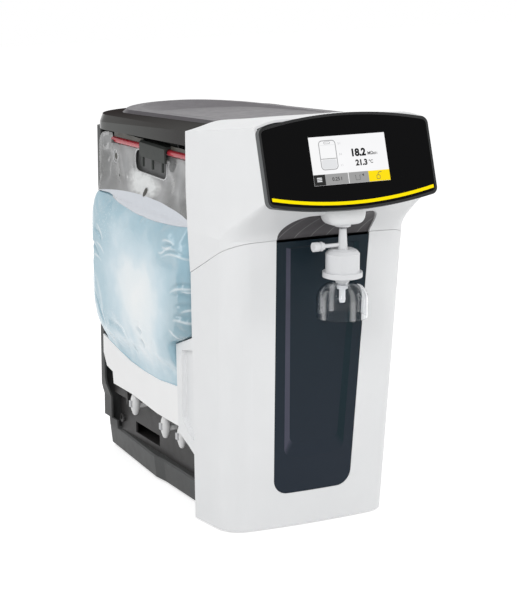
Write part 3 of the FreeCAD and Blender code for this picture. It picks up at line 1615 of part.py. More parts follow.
def bag_section(share, inset, gap):
    """One closed plan section of the bag: a rounded block whose outer side bulges."""
    outer = mm("head_width") / 2 - inset
    inner = mm("bay_wall_left") + gap
    level = mm("bag_low") + (mm("bag_high") - mm("bag_low")) * share
    near = mm("shell_back_y") + mm("bay_margin")
    far = mm("rear_y") - 2 * mm("bag_gap")
    corner = min(mm("bag_corner"), (outer - inner) * 0.4)
    bend = corner * (1 - math.sqrt(0.5))
    middle = (near + far) / 2

    def at(x, y):
        return Vector(-x, y, level)

    edges = [
        Part.Arc(
            at(outer, near + corner), at(outer + mm("bag_bulge"), middle), at(outer, far - corner)
        ).toShape(),
        Part.Arc(at(outer, far - corner), at(outer - bend, far - bend), at(outer - corner, far)).toShape(),
        Part.LineSegment(at(outer - corner, far), at(inner + corner, far)).toShape(),
        Part.Arc(at(inner + corner, far), at(inner + bend, far - bend), at(inner, far - corner)).toShape(),
        Part.LineSegment(at(inner, far - corner), at(inner, near + corner)).toShape(),
        Part.Arc(at(inner, near + corner), at(inner + bend, near + bend), at(inner + corner, near)).toShape(),
        Part.LineSegment(at(inner + corner, near), at(outer - corner, near)).toShape(),
        Part.Arc(at(outer - corner, near), at(outer - bend, near + bend), at(outer, near + corner)).toShape(),
    ]
    return Part.Wire(edges)


def grip_clearance():
    """The space the left grip tab keeps free: its own form, carried on outwards."""
    tab = grip_form(-1, 1)
    box = tab.BoundBox
    outwards = tab.copy()
    outwards.translate(Vector(1.5 - box.XLength, 0, 0))
    further = outwards.copy()
    further.translate(Vector(1.5 - box.XLength, 0, 0))
    return tab.fuse([outwards, further])


def make_bag():
    """The filled bag, the clear film above it, and the white tray that carries it."""
    wires = [bag_section(*level) for level in BAG_LEVELS]
    bag = Part.makeLoft(wires, True, False).cut(grip_clearance()).cut(tray_form(mm("seat_gap")))
    node("water_bag", shaped(biggest(bag)))

    near = mm("shell_back_y") + mm("bay_margin")
    far = mm("rear_y") - 2 * mm("bag_gap")
    low = mm("bag_high") + mm("bag_gap") / 4
    under = mm("saddle_height") + mm("bag_gap") / 4
    thick = mm("film_thickness")
    points = [(near, low), (far, low), (far, rod_level(far) - under), (near, rod_level(near) - under)]
    corners = [Vector(-mm("rod_offset") - thick / 2, y, z) for y, z in points]
    film = Part.Face(Part.makePolygon(corners + corners[:1])).extrude(Vector(thick, 0, 0))
    wide = mm("film_window_width")
    tall = mm("film_window_height")
    middle = mm("hook_y") + mm("film_window_shift")
    high = rod_level(middle) - under
    corner = Vector(-mm("rod_offset") - 5, middle - wide / 2, high - 3 - tall)
    window = Part.makeBox(10, wide, tall, corner)
    edges = [edge for edge in window.Edges if abs(edge.Vertexes[0].X - edge.Vertexes[1].X) > 1]
    node("bag_film", shaped(film.cut(window.makeFillet(tall * 0.45, edges))))

    tray = tray_form(0).cut(grip_clearance())
    for y in coupling_spots():
        tray = tray.cut(Part.makeCylinder(3, 20, Vector(-mm("coupling_offset"), y, mm("tray_low") - 5)))
    node("bag_tray", shaped(tray))


def tray_form(grow):
    """The tray: a floor that rises a little to the back, an outer side wall and a rear end wall."""
    wall = mm("tray_wall") + grow
    near = mm("shell_back_y") + mm("bay_margin")
    far = mm("rear_y") - 1
    floor_far = far - mm("tray_step")
    span = far - near
    outer = -mm("tray_offset")
    rim = mm("tray_high")
    low = mm("tray_low")
    high = low + mm("tray_rise")
    floor = [(near, low), (near + 0.42 * span, low), (near + 0.68 * span, high), (floor_far, high)]
    side = floor + [
        (floor_far + 3, low + 24),
        (far - 12, low + 28),
        (far, low + 46),
        (far, mm("tray_rear_high")),
        (far - 0.16 * span, rim + 11.5),
        (far - 0.3 * span, rim + 3),
        (far - 0.46 * span, rim - 0.5),
        (far - 0.61 * span, rim - 1),
        (near + 0.21 * span, mm("tray_front_high") - 3),
        (near, mm("tray_front_high")),
    ]
    above = [(y, z + wall) for y, z in reversed(floor)]
    length = mm("tray_offset") - mm("bay_wall_left")
    shapes = []
    for points, width in ((side, wall), (floor + above, length)):
        corners = [Vector(outer, y, z) for y, z in points]
        shapes.append(Part.Face(Part.makePolygon(corners + corners[:1])).extrude(Vector(width, 0, 0)))
    end = Part.makeBox(length, wall, 22, Vector(outer, floor_far - wall, high))
    return shapes[0].fuse([shapes[1], end]).removeSplitter()


def coupling_spots():
    """Where the three port couplings stand along the machine."""
    start = mm("shell_back_y") + mm("coupling_front")
    return (start, start + mm("coupling_pitch"), start + mm("coupling_far"))


def make_couplings():
    """Three port couplings under the tray, each with a sprung thumb latch on its outer side."""
    spots = (
        ("coupling_front", "tray_low"),
        ("coupling_front + coupling_pitch", "tray_low"),
        ("coupling_front + coupling_far", "tray_low + tray_rise"),
    )
    half = "coupling_width / 2"
    for number, (spot, top) in enumerate(spots, start=1):
        y = "shell_back_y + " + spot
        form = turned(
            f"Coupling{number}",
            ("-coupling_offset", y, top),
            [
                ("2.0", "0.0"),
                ("4.5", "0.0"),
                ("4.5", "-4.0"),
                (half + " - 1", "-9.0"),
                (half, "-coupling_height * 0.5"),
                (half + " - 1", "-coupling_height * 0.74"),
                ("4.0", "-coupling_height + 2"),
                ("2.6", "-coupling_height"),
                ("2.0", "-coupling_height"),
            ],
        )
        reach = "coupling_offset - lower_housing_offset - 4"
        stub_level = top + " - coupling_height * 0.62"
        stub = rod(("4 - coupling_offset", y, stub_level), "+x", "coupling_stub", reach)
        low = top + " - coupling_height * 0.5 - latch_height / 2"
        pocket = block(
            (
                "-coupling_offset - coupling_width / 2 - 5",
                y + " - latch_width / 2 - running_gap * 2",
                low + " - running_gap * 2",
            ),
            ("7.5", "latch_width + 4 * running_gap", "latch_height + 4 * running_gap"),
        )
        node(f"port_coupling_{number}", without(joined(form, stub), pocket))
        latch = block(
            ("-coupling_offset - coupling_width / 2 - latch_travel", y + " - latch_width / 2", low),
            ("latch_travel + 2.5 - latch_travel", "latch_width", "latch_height"),
        )
        node(f"coupling_latch_{number}", latch)


def make_lower_bay():
    """The dark housing under the tray that the couplings plug into, and the level sensor on it."""
    near = "shell_back_y + bay_margin"
    length = "bay_length - 2 * bay_margin"
    width = "lower_housing_offset - bay_wall_left"
    box = block(("-lower_housing_offset", near, "base_top"), (width, length, "lower_housing_top - base_top"))
    hollow = block(
        ("base_wall - lower_housing_offset", near + " + base_wall", "base_top + base_wall"),
        (width + " - 2 * base_wall", length + " - 2 * base_wall", "lower_housing_top - base_top - 2 * base_wall"),
    )
    hatch = block(
        ("-lower_housing_offset - 1", "shell_back_y + hatch_setback", "hatch_low"),
        ("base_wall + 2", "hatch_length", "hatch_height"),
    )
    far = near + " + " + length
    arm_x = "-lower_housing_offset - arm_reach"
    arm_low = "lower_housing_top - arm_height / 2"
    arm = block((arm_x, far + " - arm_length", arm_low), ("arm_reach", "arm_length", "arm_height"))
    leg = block((arm_x, far + " - arm_length", arm_low + " - 8"), ("arm_reach", "4", "9"))
    eye = (far + " - 8", "base_top + 20")
    boss = rod(("-lower_housing_offset - 4", *eye), "+x", "13", "4")
    boss_hole = rod(("-lower_housing_offset - 5", *eye), "+x", "6", "4")
    node("lower_housing", without(joined(box, arm, leg, boss), hollow, hatch, boss_hole))
    node(
        "level_sensor",
        block(
            ("2 - lower_housing_offset", "hook_y", "lower_housing_top"),
            (width + " - 4", "sensor_length", "tray_low - lower_housing_top"),
        ),
    )


# ---------------------------------------------------------------- treatment compartment


def make_compartment():
    """The cartridge, pump, lamp, valve, sensor and electronics behind the side door."""
    spot = ("cartridge_x", "cartridge_y")
    cup = rod((*spot, "base_top"), "+z", "cartridge_width + 2 * holder_wall + 2 * seat_gap", "holder_height")
    cup_hollow = rod((*spot, "base_top + holder_wall"), "+z", "cartridge_width + 2 * seat_gap", "holder_height")
    node("cartridge_holder", without(cup, cup_hollow))
    shell = rod((*spot, "base_top + holder_wall"), "+z", "cartridge_width", "cartridge_height")
    neck = rod((*spot, "base_top + holder_wall + cartridge_height"), "+z", "22", "neck_reach")
    node("cartridge", joined(shell, neck))

    pump_y = "shell_back_y + pump_setback"
    pump = block(("right_wall_x + pump_gap", pump_y, "base_top"), ("pump_width", "pump_length", "pump_width"))
    node("booster_pump", pump)
    motor_x = "right_wall_x + pump_gap + pump_width / 2"
    motor_spot = (motor_x, pump_y + " + pump_length", "base_top + pump_width / 2")
    motor = rod(motor_spot, "+y", "motor_width", "motor_height")
    foot = block(
        (motor_x + " - 8", pump_y + " + pump_length + 10", "base_top"),
        ("16", "motor_height - 20", "pump_width / 2 - motor_width / 2 + 2"),
    )
    node("pump_motor", joined(motor, foot))

    lamp_spot = ("right_wall_x + lamp_housing_width / 2 + 3", "shell_back_y + lamp_setback")
    base = "base_top + lamp_lift"
    tube = rod((*lamp_spot, base), "+z", "lamp_housing_width", "lamp_height")
    bracket = block(
        ("right_wall_x", "shell_back_y + lamp_setback - 8", base + " + 20"), ("8", "16", "lamp_height - 40")
    )
    inside = "lamp_height - 2 * lamp_wall"
    bore = rod((*lamp_spot, base + " + lamp_wall"), "+z", "lamp_housing_width - 2 * lamp_wall", inside)
    node("uv_housing", without(joined(tube, bracket), bore))
    lamp = rod((*lamp_spot, base + " + lamp_wall"), "+z", "lamp_width", inside)
    node("uv_lamp", lamp)

    manifold_y = "rear_y - manifold_depth - 20"
    node(
        "manifold",
        block(("30", manifold_y, "base_top"), ("manifold_width", "manifold_depth", "manifold_height")),
    )
    cell = rod(
        ("30 + manifold_width / 2", manifold_y + " + manifold_depth / 2", "base_top + manifold_height"),
        "+z",
        "cell_width",
        "cell_height",
    )
    node("conductivity_cell", cell)
    valve = block(
        ("-valve_width / 2", "shell_back_y - shell_wall - valve_width", "seam_height + 43 - valve_height / 2"),
        ("valve_width", "valve_width", "valve_height"),
    )
    node("dispense_valve", valve)

    board_y = "rear_y - main_board_depth - 10"
    board = block(
        ("right_wall_x + 6", board_y, "main_board_low"), ("board_thickness", "main_board_depth", "main_board_height")
    )
    posts = []
    for y in (board_y + " + 8", board_y + " + main_board_depth - 8"):
        for z in ("main_board_low + 8", "main_board_low + main_board_height - 8"):
            posts.append(rod(("right_wall_x", y, z), "+x", "6", "6"))
    chips = [
        block(("right_wall_x + 6 + board_thickness", board_y + " + 30", "main_board_low + 40"), ("3", "28", "28")),
        block(("right_wall_x + 6 + board_thickness", board_y + " + 90", "main_board_low + 20"), ("12", "30", "20")),
    ]
    node("main_board", joined(board, *posts, *chips))
    supply_corner = ("right_wall_x", "rear_y - supply_depth - 10", "supply_low")
    node("power_supply", block(supply_corner, ("supply_width", "supply_depth", "supply_height")))
    make_hoses()


def hose(points, bend):
    """A hose of straight runs joined by arcs, along its middle line."""
    edges = []
    start = points[0]
    for before, corner, after in zip(points, points[1:], points[2:]):
        back = (before - corner).normalize()
        ahead = (after - corner).normalize()
        first = corner + back * bend
        last = corner + ahead * bend
        middle = corner + (back + ahead) * bend * (1 - math.sqrt(0.5))
        edges.append(Part.LineSegment(start, first).toShape())
        edges.append(Part.Arc(first, middle, last).toShape())
        start = last
    edges.append(Part.LineSegment(start, points[-1]).toShape())
    path = Part.Wire(edges)
    way = (points[1] - points[0]).normalize()
    ring = Part.Wire([Part.makeCircle(mm("hose_width") / 2, points[0], way)])
    return path.makePipeShell([ring], True, False)


def make_hoses():
    """The inner hoses, at right angles with even bends."""
    bend = 2.4 * mm("hose_width")
    valve_y = mm("shell_back_y") - mm("shell_wall") - mm("valve_width")
    level = mm("pod_foot") + mm("pod_height") + bend
    y = mm("axis_y")
    outlet = hose([Vector(0, valve_y, level), Vector(0, y, level), Vector(0, y, level - bend)], bend * 0.99)
    pump_x = mm("right_wall_x") + mm("pump_gap") + mm("pump_width") / 2
    pump_z = mm("base_top") + mm("holder_height") * 0.6
    cup_x = mm("cartridge_x") - mm("cartridge_width") / 2 - mm("holder_wall") - mm("seat_gap")
    feed = hose(
        [
            Vector(pump_x, mm("shell_back_y") + mm("pump_setback"), pump_z),
            Vector(pump_x, mm("cartridge_y"), pump_z),
            Vector(cup_x, mm("cartridge_y"), pump_z),
        ],
        bend,
    )
    x = mm("cartridge_x")
    top = mm("base_top") + mm("holder_wall") + mm("cartridge_height") + mm("neck_reach")
    turn_y = mm("shell_back_y") - mm("shell_wall") - mm("valve_width") / 2
    product = hose(
        [
            Vector(x, mm("cartridge_y"), top),
            Vector(x, mm("cartridge_y"), hose_level()),
            Vector(x, turn_y, hose_level()),
            Vector(mm("valve_width") / 2, turn_y, hose_level()),
        ],
        min(bend, 12),
    )
    node("inner_hoses", shaped(Part.makeCompound([outlet, feed, product])))


# ---------------------------------------------------------------- side door


def make_door():
    """The right side door: a panel with a rim, a notch for the grip tab, and two knuckles."""
    near = mm("shell_back_y") + mm("door_gap")
    far = mm("hinge_y") - mm("hinge_width")
    thick = mm("door_thickness")
    panel = door_slab(near, far, 0, thick)
    rims = [
        door_slab(near, near + thick, 0, mm("door_rim")),
        door_slab(far - thick, far, 0, mm("door_rim")),
    ]
    panel = panel.fuse(rims)
    for z in (mm("hinge_low"), mm("hinge_high")):
        panel = panel.fuse(knuckle(z, far - 2))
    panel = panel.cut(grip_form(1, 2.5)).common(under_lid(mm("door_gap")))
    panel = panel.cut(hinge_pins_form(mm("running_gap")))
    node("side_door", shaped(biggest(panel.removeSplitter())))
    node("hinge_pins", shaped(hinge_pins_form(0)))


def door_slab(near, far, outer_inset, inner_inset):
    """A stretch of the door between two depths, leaning outwards to the top like the shells."""
    wires = []
    top_z = mm("lid_low") + 10
    for z, width in ((mm("door_foot"), mm("door_foot_width")), (top_z, mm("door_top_width"))):
        outer = width / 2 - outer_inset
        inner = width / 2 - inner_inset
        points = [Vector(inner, near, z), Vector(outer, near, z), Vector(outer, far, z), Vector(inner, far, z)]
        wires.append(Part.makePolygon(points + points[:1]))
    return Part.makeLoft(wires, True, True)


def knuckle(z, near):
    """One hinge knuckle with its arm to the door's rear rim."""
    radius = mm("hinge_width") / 2
    low = z - mm("hinge_height") / 2
    high = mm("hinge_height")
    x = mm("hinge_x")
    eye = Part.makeCylinder(radius, high, Vector(x, mm("hinge_y"), low))
    share = (z - mm("door_foot")) / (mm("lid_low") + 10 - mm("door_foot"))
    outer = (mm("door_foot_width") + (mm("door_top_width") - mm("door_foot_width")) * share) / 2
    arm_x = outer - mm("door_rim")
    points = [
        Vector(arm_x, near, low),
        Vector(outer - 0.5, near, low),
        Vector(outer - 0.5, near + 3, low),
        Vector(x + radius, mm("hinge_y"), low),
        Vector(x - radius * 0.4, mm("hinge_y") - radius * 0.4, low),
        Vector(arm_x, near + 3, low),
    ]
    arm = Part.Face(Part.makePolygon(points + points[:1])).extrude(Vector(0, 0, high))
    return eye.fuse(arm)


# ---------------------------------------------------------------- rear fittings


def make_rear_fittings():
    """The feed and drain fittings, the mains inlet, and the power switch with its rocker."""
    fittings = []
    for side in ("-", ""):
        x = side + "fitting_pitch / 2"
        flange = rod((x, "rear_face_y", "fitting_height"), "+y", "fitting_width", "fitting_flange")
        tail = rod((x, "rear_face_y + fitting_flange", "fitting_height"), "+y", "hose_tail_width", "hose_tail_length")
        shank = rod((x, "rear_face_y - 8", "fitting_height"), "+y", "hose_tail_width + 2", "8")
        bore = rod((x, "rear_face_y - 9", "fitting_height"), "+y", "hose_tail_width - 3", "40")
        fittings.append(without(joined(flange, tail, shank), bore))
    node("rear_fittings", group(*fittings))

    depth = mm("inlet_depth") + 1.5
    width = mm("inlet_width")
    high = mm("inlet_high")
    x = -mm("inlet_x")
    y = mm("rear_face_y")
    z = mm("inlet_height")
    cavity_y = y - mm("inlet_depth") + mm("inlet_wall")
    cavity = Part.makeBox(width, depth, high, Vector(x - width / 2, cavity_y, z - high / 2))
    body = inlet_block(0).cut(cavity)
    for pin_x, pin_z in ((-7, -3), (0, 3), (7, -3)):
        corner = Vector(x + pin_x - 1, cavity_y - 1, z + pin_z - 2)
        body = body.fuse(Part.makeBox(2, mm("inlet_depth") - 4, 4, corner))
    node("mains_inlet", shaped(body))

    z = mm("switch_height")
    width = mm("switch_width")
    high = mm("switch_high")
    corner = Vector(x - width / 2, y - mm("switch_depth") + 2, z - high / 2)
    pocket = Part.makeBox(width, 40, high, corner)
    node("power_switch", shaped(switch_block(0).cut(pocket).fuse(rocker_pin(0))))
    node("power_rocker", shaped(rocker_form()))


def rocker_axis():
    """The point on the rocker's turning axis, in the middle of the switch."""
    return Vector(-mm("inlet_x"), mm("rear_face_y") - 3, mm("switch_height"))


def rocker_pin(grow):
    """The pin that the rocker turns on, across the switch."""
    width = mm("switch_width") + 1
    start = rocker_axis() - Vector(width / 2, 0, 0)
    return Part.makeCylinder(1.5 + grow, width, start, Vector(1, 0, 0))


def rocker_form():
    """The rocker, pressed in at the top, with two faces that meet in a shallow valley."""
    half = mm("switch_width") / 2 - 0.3
    reach = mm("switch_high") / 2 - 1.2
    points = [
        Vector(-half, -4, -reach + 2.5),
        Vector(-half, 4.6, -reach),
        Vector(-half, 3.4, 0),
        Vector(-half, 4.6, reach),
        Vector(-half, -4, reach - 2.5),
    ]
    solid = Part.Face(Part.makePolygon(points + points[:1])).extrude(Vector(2 * half, 0, 0))
    solid.rotate(Vector(), Vector(1, 0, 0), mm("rocker_tilt"))
    solid.translate(rocker_axis())
    return solid.cut(rocker_pin(mm("running_gap")))


def make_screws():
    """The screws under the base."""
    node("base_screws", shaped(base_screws_form()))


# ---------------------------------------------------------------- build and export


def write_parts():
    """Check every object and shape, then write one STEP file for each sub-part."""
    doc.recompute()
    for item in doc.Objects:
        if "Invalid" in item.State or "Error" in item.State:
            raise RuntimeError(f"{item.Label} did not build: {item.State}")
    for item in NODES:
        if item.Shape.isNull() or not item.Shape.isValid():
            raise RuntimeError(f"{item.Label} has no valid shape")
    os.makedirs("parts", exist_ok=True)
    for item in NODES:
        item.Shape.exportStep(f"parts/{item.Label}.step")
    print(len(NODES), "sub-parts written")


make_shells()
make_display()
make_dispenser()
make_filter()
make_base()
make_lid()
make_rear()
make_chassis()
make_bag_hanger()
make_bag()
make_couplings()
make_lower_bay()
make_compartment()
make_door()
make_rear_fittings()
make_screws()
write_parts()
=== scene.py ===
import math
import bmesh
import bpy
import numpy as np
from mathutils import Matrix, Vector, noise
from mathutils.bvhtree import BVHTree


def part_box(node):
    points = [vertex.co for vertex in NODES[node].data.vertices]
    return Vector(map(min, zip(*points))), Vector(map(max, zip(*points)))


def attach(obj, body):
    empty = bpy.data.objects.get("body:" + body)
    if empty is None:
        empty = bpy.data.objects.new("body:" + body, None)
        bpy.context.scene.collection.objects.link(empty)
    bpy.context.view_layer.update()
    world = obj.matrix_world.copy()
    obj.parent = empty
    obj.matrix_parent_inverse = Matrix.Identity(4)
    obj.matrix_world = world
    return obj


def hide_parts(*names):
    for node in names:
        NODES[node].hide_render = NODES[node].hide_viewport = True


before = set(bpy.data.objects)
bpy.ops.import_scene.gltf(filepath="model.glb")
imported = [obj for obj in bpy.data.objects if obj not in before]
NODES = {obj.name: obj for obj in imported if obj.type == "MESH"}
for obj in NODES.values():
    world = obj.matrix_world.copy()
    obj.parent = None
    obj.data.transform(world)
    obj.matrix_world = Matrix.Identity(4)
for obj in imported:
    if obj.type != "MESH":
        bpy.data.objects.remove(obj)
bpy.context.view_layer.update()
MM = 0.001


# ---------------------------------------------------------------- materials

# What a noise field seldom leaves.
NOISE_RANGE = (0.3, 0.7)
STEEL_GRAIN = 0.25 * MM
LIT_UNEVEN = 0.02

# The bell's pale streaks, which are painted reflections: where each lies round the bell and how wide it is,
# in degrees.
BELL_PAINTED_STREAKS = ((-76, 9), (-4, 9), (30, 4))
BELL_IOR = 1.17
BELL_COAT_IOR = 1.95

# The arch's drawn ribs: how many repeats the wave makes, and its slant in degrees.
ARCH_RIBS = 16
ARCH_SLANT = -32

# Where a tint changes: over a height or depth in m, or the x, y or z of a face's direction.
BEZEL_LEVEL = (0.93, 0.98)
PANEL_FOOT_Z = (0.36, 0.09)
PANEL_PAINTED_LIGHT_RIGHT = (0.06, 0.2)
PANEL_PAINTED_SHADE_LEFT = (-0.06, -0.2)
PANEL_PAINTED_SHADE_UP = (0.16, 0.3)
LID_UPRIGHT = (0.75, 0.2)
LID_REAR_FACING = (0.08, 0.35)
LID_PAINTED_LIGHT_Y = (-0.06, 0.26)
LID_COAT = 0.4


def new_material(name):
    """A material with its tree, its shader and the object's own coordinates, in metres."""
    made = bpy.data.materials.new(name)
    made.use_nodes = True
    tree = made.node_tree
    shader = tree.nodes["Principled BSDF"]
    place = tree.nodes.new("ShaderNodeTexCoord")
    return made, tree, shader, place.outputs["Object"]


def add_node(tree, kind, inputs):
    """A node whose inputs are numbers or other nodes' sockets."""
    made = tree.nodes.new("ShaderNode" + kind)
    for name, value in inputs.items():
        if isinstance(value, bpy.types.NodeSocket):
            tree.links.new(value, made.inputs[name])
        else:
            made.inputs[name].default_value = value
    return made


def noise_field(tree, place, size, detail=2.0, seed=0.0, stretch=(1, 1, 1)):
    """Noise whose blobs are about size metres across."""
    move = add_node(tree, "Mapping", {"Location": (seed, seed, seed), "Scale": stretch, "Vector": place})
    inputs = {"Scale": 1 / size, "Detail": detail, "Vector": move.outputs["Vector"]}
    return add_node(tree, "TexNoise", inputs).outputs["Fac"]


def ramp(tree, factor, stops):
    """Colours or greys set along a 0 to 1 factor."""
    made = tree.nodes.new("ShaderNodeValToRGB")
    band = made.color_ramp
    while len(band.elements) < len(stops):
        band.elements.new(0.5)
    for element, (spot, colour) in zip(band.elements, stops):
        element.position = spot
        element.color = colour if len(colour) == 4 else (*colour, 1)
    tree.links.new(factor, made.inputs["Fac"])
    return made.outputs["Color"]


def share(tree, value, low, high, least=0.0, most=1.0):
    """Least to most as the value goes from low to high, and no further."""
    limits = {"From Min": low, "From Max": high, "To Min": least, "To Max": most}
    return add_node(tree, "MapRange", {"Value": value, **limits}).outputs["Result"]


def spread(tree, field, low, high):
    """Low to high over a noise field's range."""
    return share(tree, field, *NOISE_RANGE, low, high)


def mottled(tree, field, dark, bright):
    """Dark to bright over a noise field's range."""
    return ramp(tree, field, list(zip(NOISE_RANGE, (dark, bright))))


def bumped(tree, shader, factor, depth, strength=1.0):
    """Relief of that depth, in metres, on the shader's normal."""
    made = add_node(tree, "Bump", {"Strength": strength, "Distance": depth, "Height": factor})
    tree.links.new(made.outputs["Normal"], shader.inputs["Normal"])


def spot_field(tree, place, middle, reach, stretch=1.0):
    """1 at a place on the bag's side (y, z), falling to 0 at that reach, in metres."""
    wide, high = reach, reach * stretch
    start = (0, -middle[0] / wide, -middle[1] / high)
    move = add_node(tree, "Mapping", {"Location": start, "Scale": (0, 1 / wide, 1 / high), "Vector": place})
    ball = add_node(tree, "TexGradient", {"Vector": move.outputs["Vector"]})
    ball.gradient_type = "SPHERICAL"
    return ball.outputs["Fac"]


def blend(tree, factor, first, second):
    """The first colour where the factor is 0, and the second where it is 1."""
    first, second = ((*value, 1) if isinstance(value, tuple) else value for value in (first, second))
    return add_node(tree, "MixRGB", {"Fac": factor, "Color1": first, "Color2": second}).outputs["Color"]


def maths(tree, kind, first, second=0.0):
    """One sum with numbers or other sockets."""
    made = add_node(tree, "Math", {0: first, 1: second})
    made.operation = kind
    return made.outputs[0]


def axes(tree, vector):
    """A vector's X, Y and Z."""
    return add_node(tree, "SeparateXYZ", {"Vector": vector}).outputs


def reopened(made):
    """A finished material's tree and shader, with the directions of its faces and its places."""
    tree = made.node_tree
    place = tree.nodes.new("ShaderNodeTexCoord").outputs
    return tree, tree.nodes["Principled BSDF"], place["Normal"], place["Object"]


def shade(colour, k):
    return tuple(min(1.0, c * k) for c in colour)


def srgb(value):
    """A linear value for a display value from 0 to 255, by the sRGB curve."""
    level = value / 255
    return level / 12.92 if level <= 0.04045 else ((level + 0.055) / 1.055) ** 2.4


def rgb(red, green, blue):
    """A linear colour for display values from 0 to 255."""
    return (srgb(red), srgb(green), srgb(blue))


def moulded(name, colour, rough, grain=0.5 * MM, depth=0.02 * MM, uneven=0.03, gloss=0.5, coat=0.0):
    """Moulded plastic: nearly even colour, fine skin texture, uneven roughness."""
    made, tree, shader, place = new_material(name)
    field = noise_field(tree, place, 60 * MM, 3.0, 0.7)
    tint = mottled(tree, field, shade(colour, 1 - uneven), shade(colour, 1 + uneven))
    tree.links.new(tint, shader.inputs["Base Color"])
    wear = noise_field(tree, place, 14 * MM, 4.0, 2.1)
    tree.links.new(spread(tree, wear, rough * 0.9, rough * 1.12), shader.inputs["Roughness"])
    skin = noise_field(tree, place, grain, 1.0, 5.3)
    bumped(tree, shader, skin, depth)
    shader.inputs["Specular IOR Level"].default_value = gloss
    shader.inputs["Coat Weight"].default_value = coat
    shader.inputs["Coat Roughness"].default_value = 0.08
    return made


def metal(name, colour, rough, stretch=(1, 1, 0.04)):
    """Turned or drawn steel with fine lines along one direction."""
    made, tree, shader, place = new_material(name)
    shader.inputs["Metallic"].default_value = 1.0
    streak = noise_field(tree, place, STEEL_GRAIN, 2.0, 1.7, stretch)
    tint = mottled(tree, streak, shade(colour, 0.88), shade(colour, 1.08))
    tree.links.new(tint, shader.inputs["Base Color"])
    tree.links.new(spread(tree, streak, rough * 0.8, rough * 1.3), shader.inputs["Roughness"])
    bumped(tree, shader, streak, 0.01 * MM)
    return made


def clear(name, tint, rough, ior):
    """Clear plastic or glass, with faint flow marks in its surface."""
    made, tree, shader, place = new_material(name)
    field = noise_field(tree, place, 40 * MM, 1.0, 0.4)
    tree.links.new(mottled(tree, field, shade(tint, 0.985), tint), shader.inputs["Base Color"])
    if rough:
        tree.links.new(spread(tree, field, rough * 0.6, rough * 1.4), shader.inputs["Roughness"])
    else:
        shader.inputs["Roughness"].default_value = 0.0
    shader.inputs["Transmission Weight"].default_value = 1.0
    shader.inputs["IOR"].default_value = ior
    return made


def bell_material():
    """Thin clear plastic, with pale upright streaks of painted reflection at fixed places round it."""
    made = clear("clear_bell", (0.93, 0.94, 0.95), 0.0, BELL_IOR)
    tree, shader, facing, _ = reopened(made)
    facing = axes(tree, facing)
    turn = maths(tree, "ARCTAN2", facing["X"], maths(tree, "MULTIPLY", facing["Y"], -1.0))
    # Painted reflections: the coat lies only in fixed upright streaks.
    painted_streaks = None
    for middle, width in BELL_PAINTED_STREAKS:
        off = maths(tree, "ABSOLUTE", maths(tree, "SUBTRACT", turn, math.radians(middle)))
        streak = share(tree, off, math.radians(width), math.radians(width / 3))
        painted_streaks = streak if painted_streaks is None else maths(tree, "MAXIMUM", painted_streaks, streak)
    tree.links.new(painted_streaks, shader.inputs["Coat Weight"])
    shader.inputs["Coat IOR"].default_value = BELL_COAT_IOR
    shader.inputs["Coat Roughness"].default_value = 0.1
    return made


def lit(name, colour):
    """A part of the lit picture on the screen."""
    made, tree, shader, place = new_material(name)
    field = noise_field(tree, place, 45 * MM, 1.0, 1.1)
    tint = mottled(tree, field, shade(colour, 1 - LIT_UNEVEN), shade(colour, 1 + LIT_UNEVEN))
    shader.inputs["Base Color"].default_value = (0.01, 0.01, 0.01, 1)
    shader.inputs["Roughness"].default_value = 0.35
    shader.inputs["Specular IOR Level"].default_value = 0.0
    tree.links.new(tint, shader.inputs["Emission Color"])
    shader.inputs["Emission Strength"].default_value = 1.0
    return made


def board_material():
    """A printed circuit board: green lacquer over copper tracks."""
    made, tree, shader, place = new_material("circuit_board")
    tints = {"Color1": rgb(24, 84, 52), "Color2": rgb(28, 96, 60), "Mortar": rgb(62, 128, 84)}
    tints = {name: (*tint, 1) for name, tint in tints.items()}
    tracks = add_node(tree, "TexBrick", {"Scale": 120, "Vector": place, **tints})
    tree.links.new(tracks.outputs["Color"], shader.inputs["Base Color"])
    shader.inputs["Roughness"].default_value = 0.3
    bumped(tree, shader, tracks.outputs["Fac"], 0.03 * MM)
    return made


def arch_material():
    """The dark insert of the arch, with thin slanting ribs drawn by its colour and a bump."""
    made, tree, shader, place = new_material("arch_moulding")
    slant = add_node(tree, "Mapping", {"Rotation": (0, math.radians(ARCH_SLANT), 0), "Vector": place})
    ribs = add_node(tree, "TexWave", {"Scale": ARCH_RIBS, "Vector": slant.outputs["Vector"]})
    ribs.wave_type = "BANDS"
    ribs.bands_direction = "X"
    edge = ramp(tree, ribs.outputs["Fac"], [(0.985, rgb(82, 80, 82)), (0.998, rgb(128, 126, 128))])
    tree.links.new(edge, shader.inputs["Base Color"])
    rough = noise_field(tree, place, 14 * MM, 4.0, 2.1)
    tree.links.new(spread(tree, rough, 0.4, 0.52), shader.inputs["Roughness"])
    bumped(tree, shader, ribs.outputs["Fac"], 0.3 * MM)
    shader.inputs["Specular IOR Level"].default_value = 0.15
    return made


def bezel_material():
    """Dark grey frame, nearly black on the land that lies level with the display's cover."""
    made = moulded("bezel_moulding", rgb(62, 65, 67), 0.35, gloss=0.3)
    tree, shader, facing, _ = reopened(made)
    level = tree.nodes.new("ShaderNodeVectorMath")
    level.operation = "DOT_PRODUCT"
    tree.links.new(facing, level.inputs[0])
    level.inputs[1].default_value = screen_face().normal
    land = share(tree, level.outputs["Value"], *BEZEL_LEVEL)
    tree.links.new(blend(tree, land, rgb(72, 75, 77), rgb(24, 25, 26)), shader.inputs["Base Color"])
    return made


def screen_face():
    """The lit screen's front: its largest face that looks to the front."""
    return max(NODES["display_screen"].data.polygons, key=lambda f: (-f.normal.y > 0.5) * f.area)


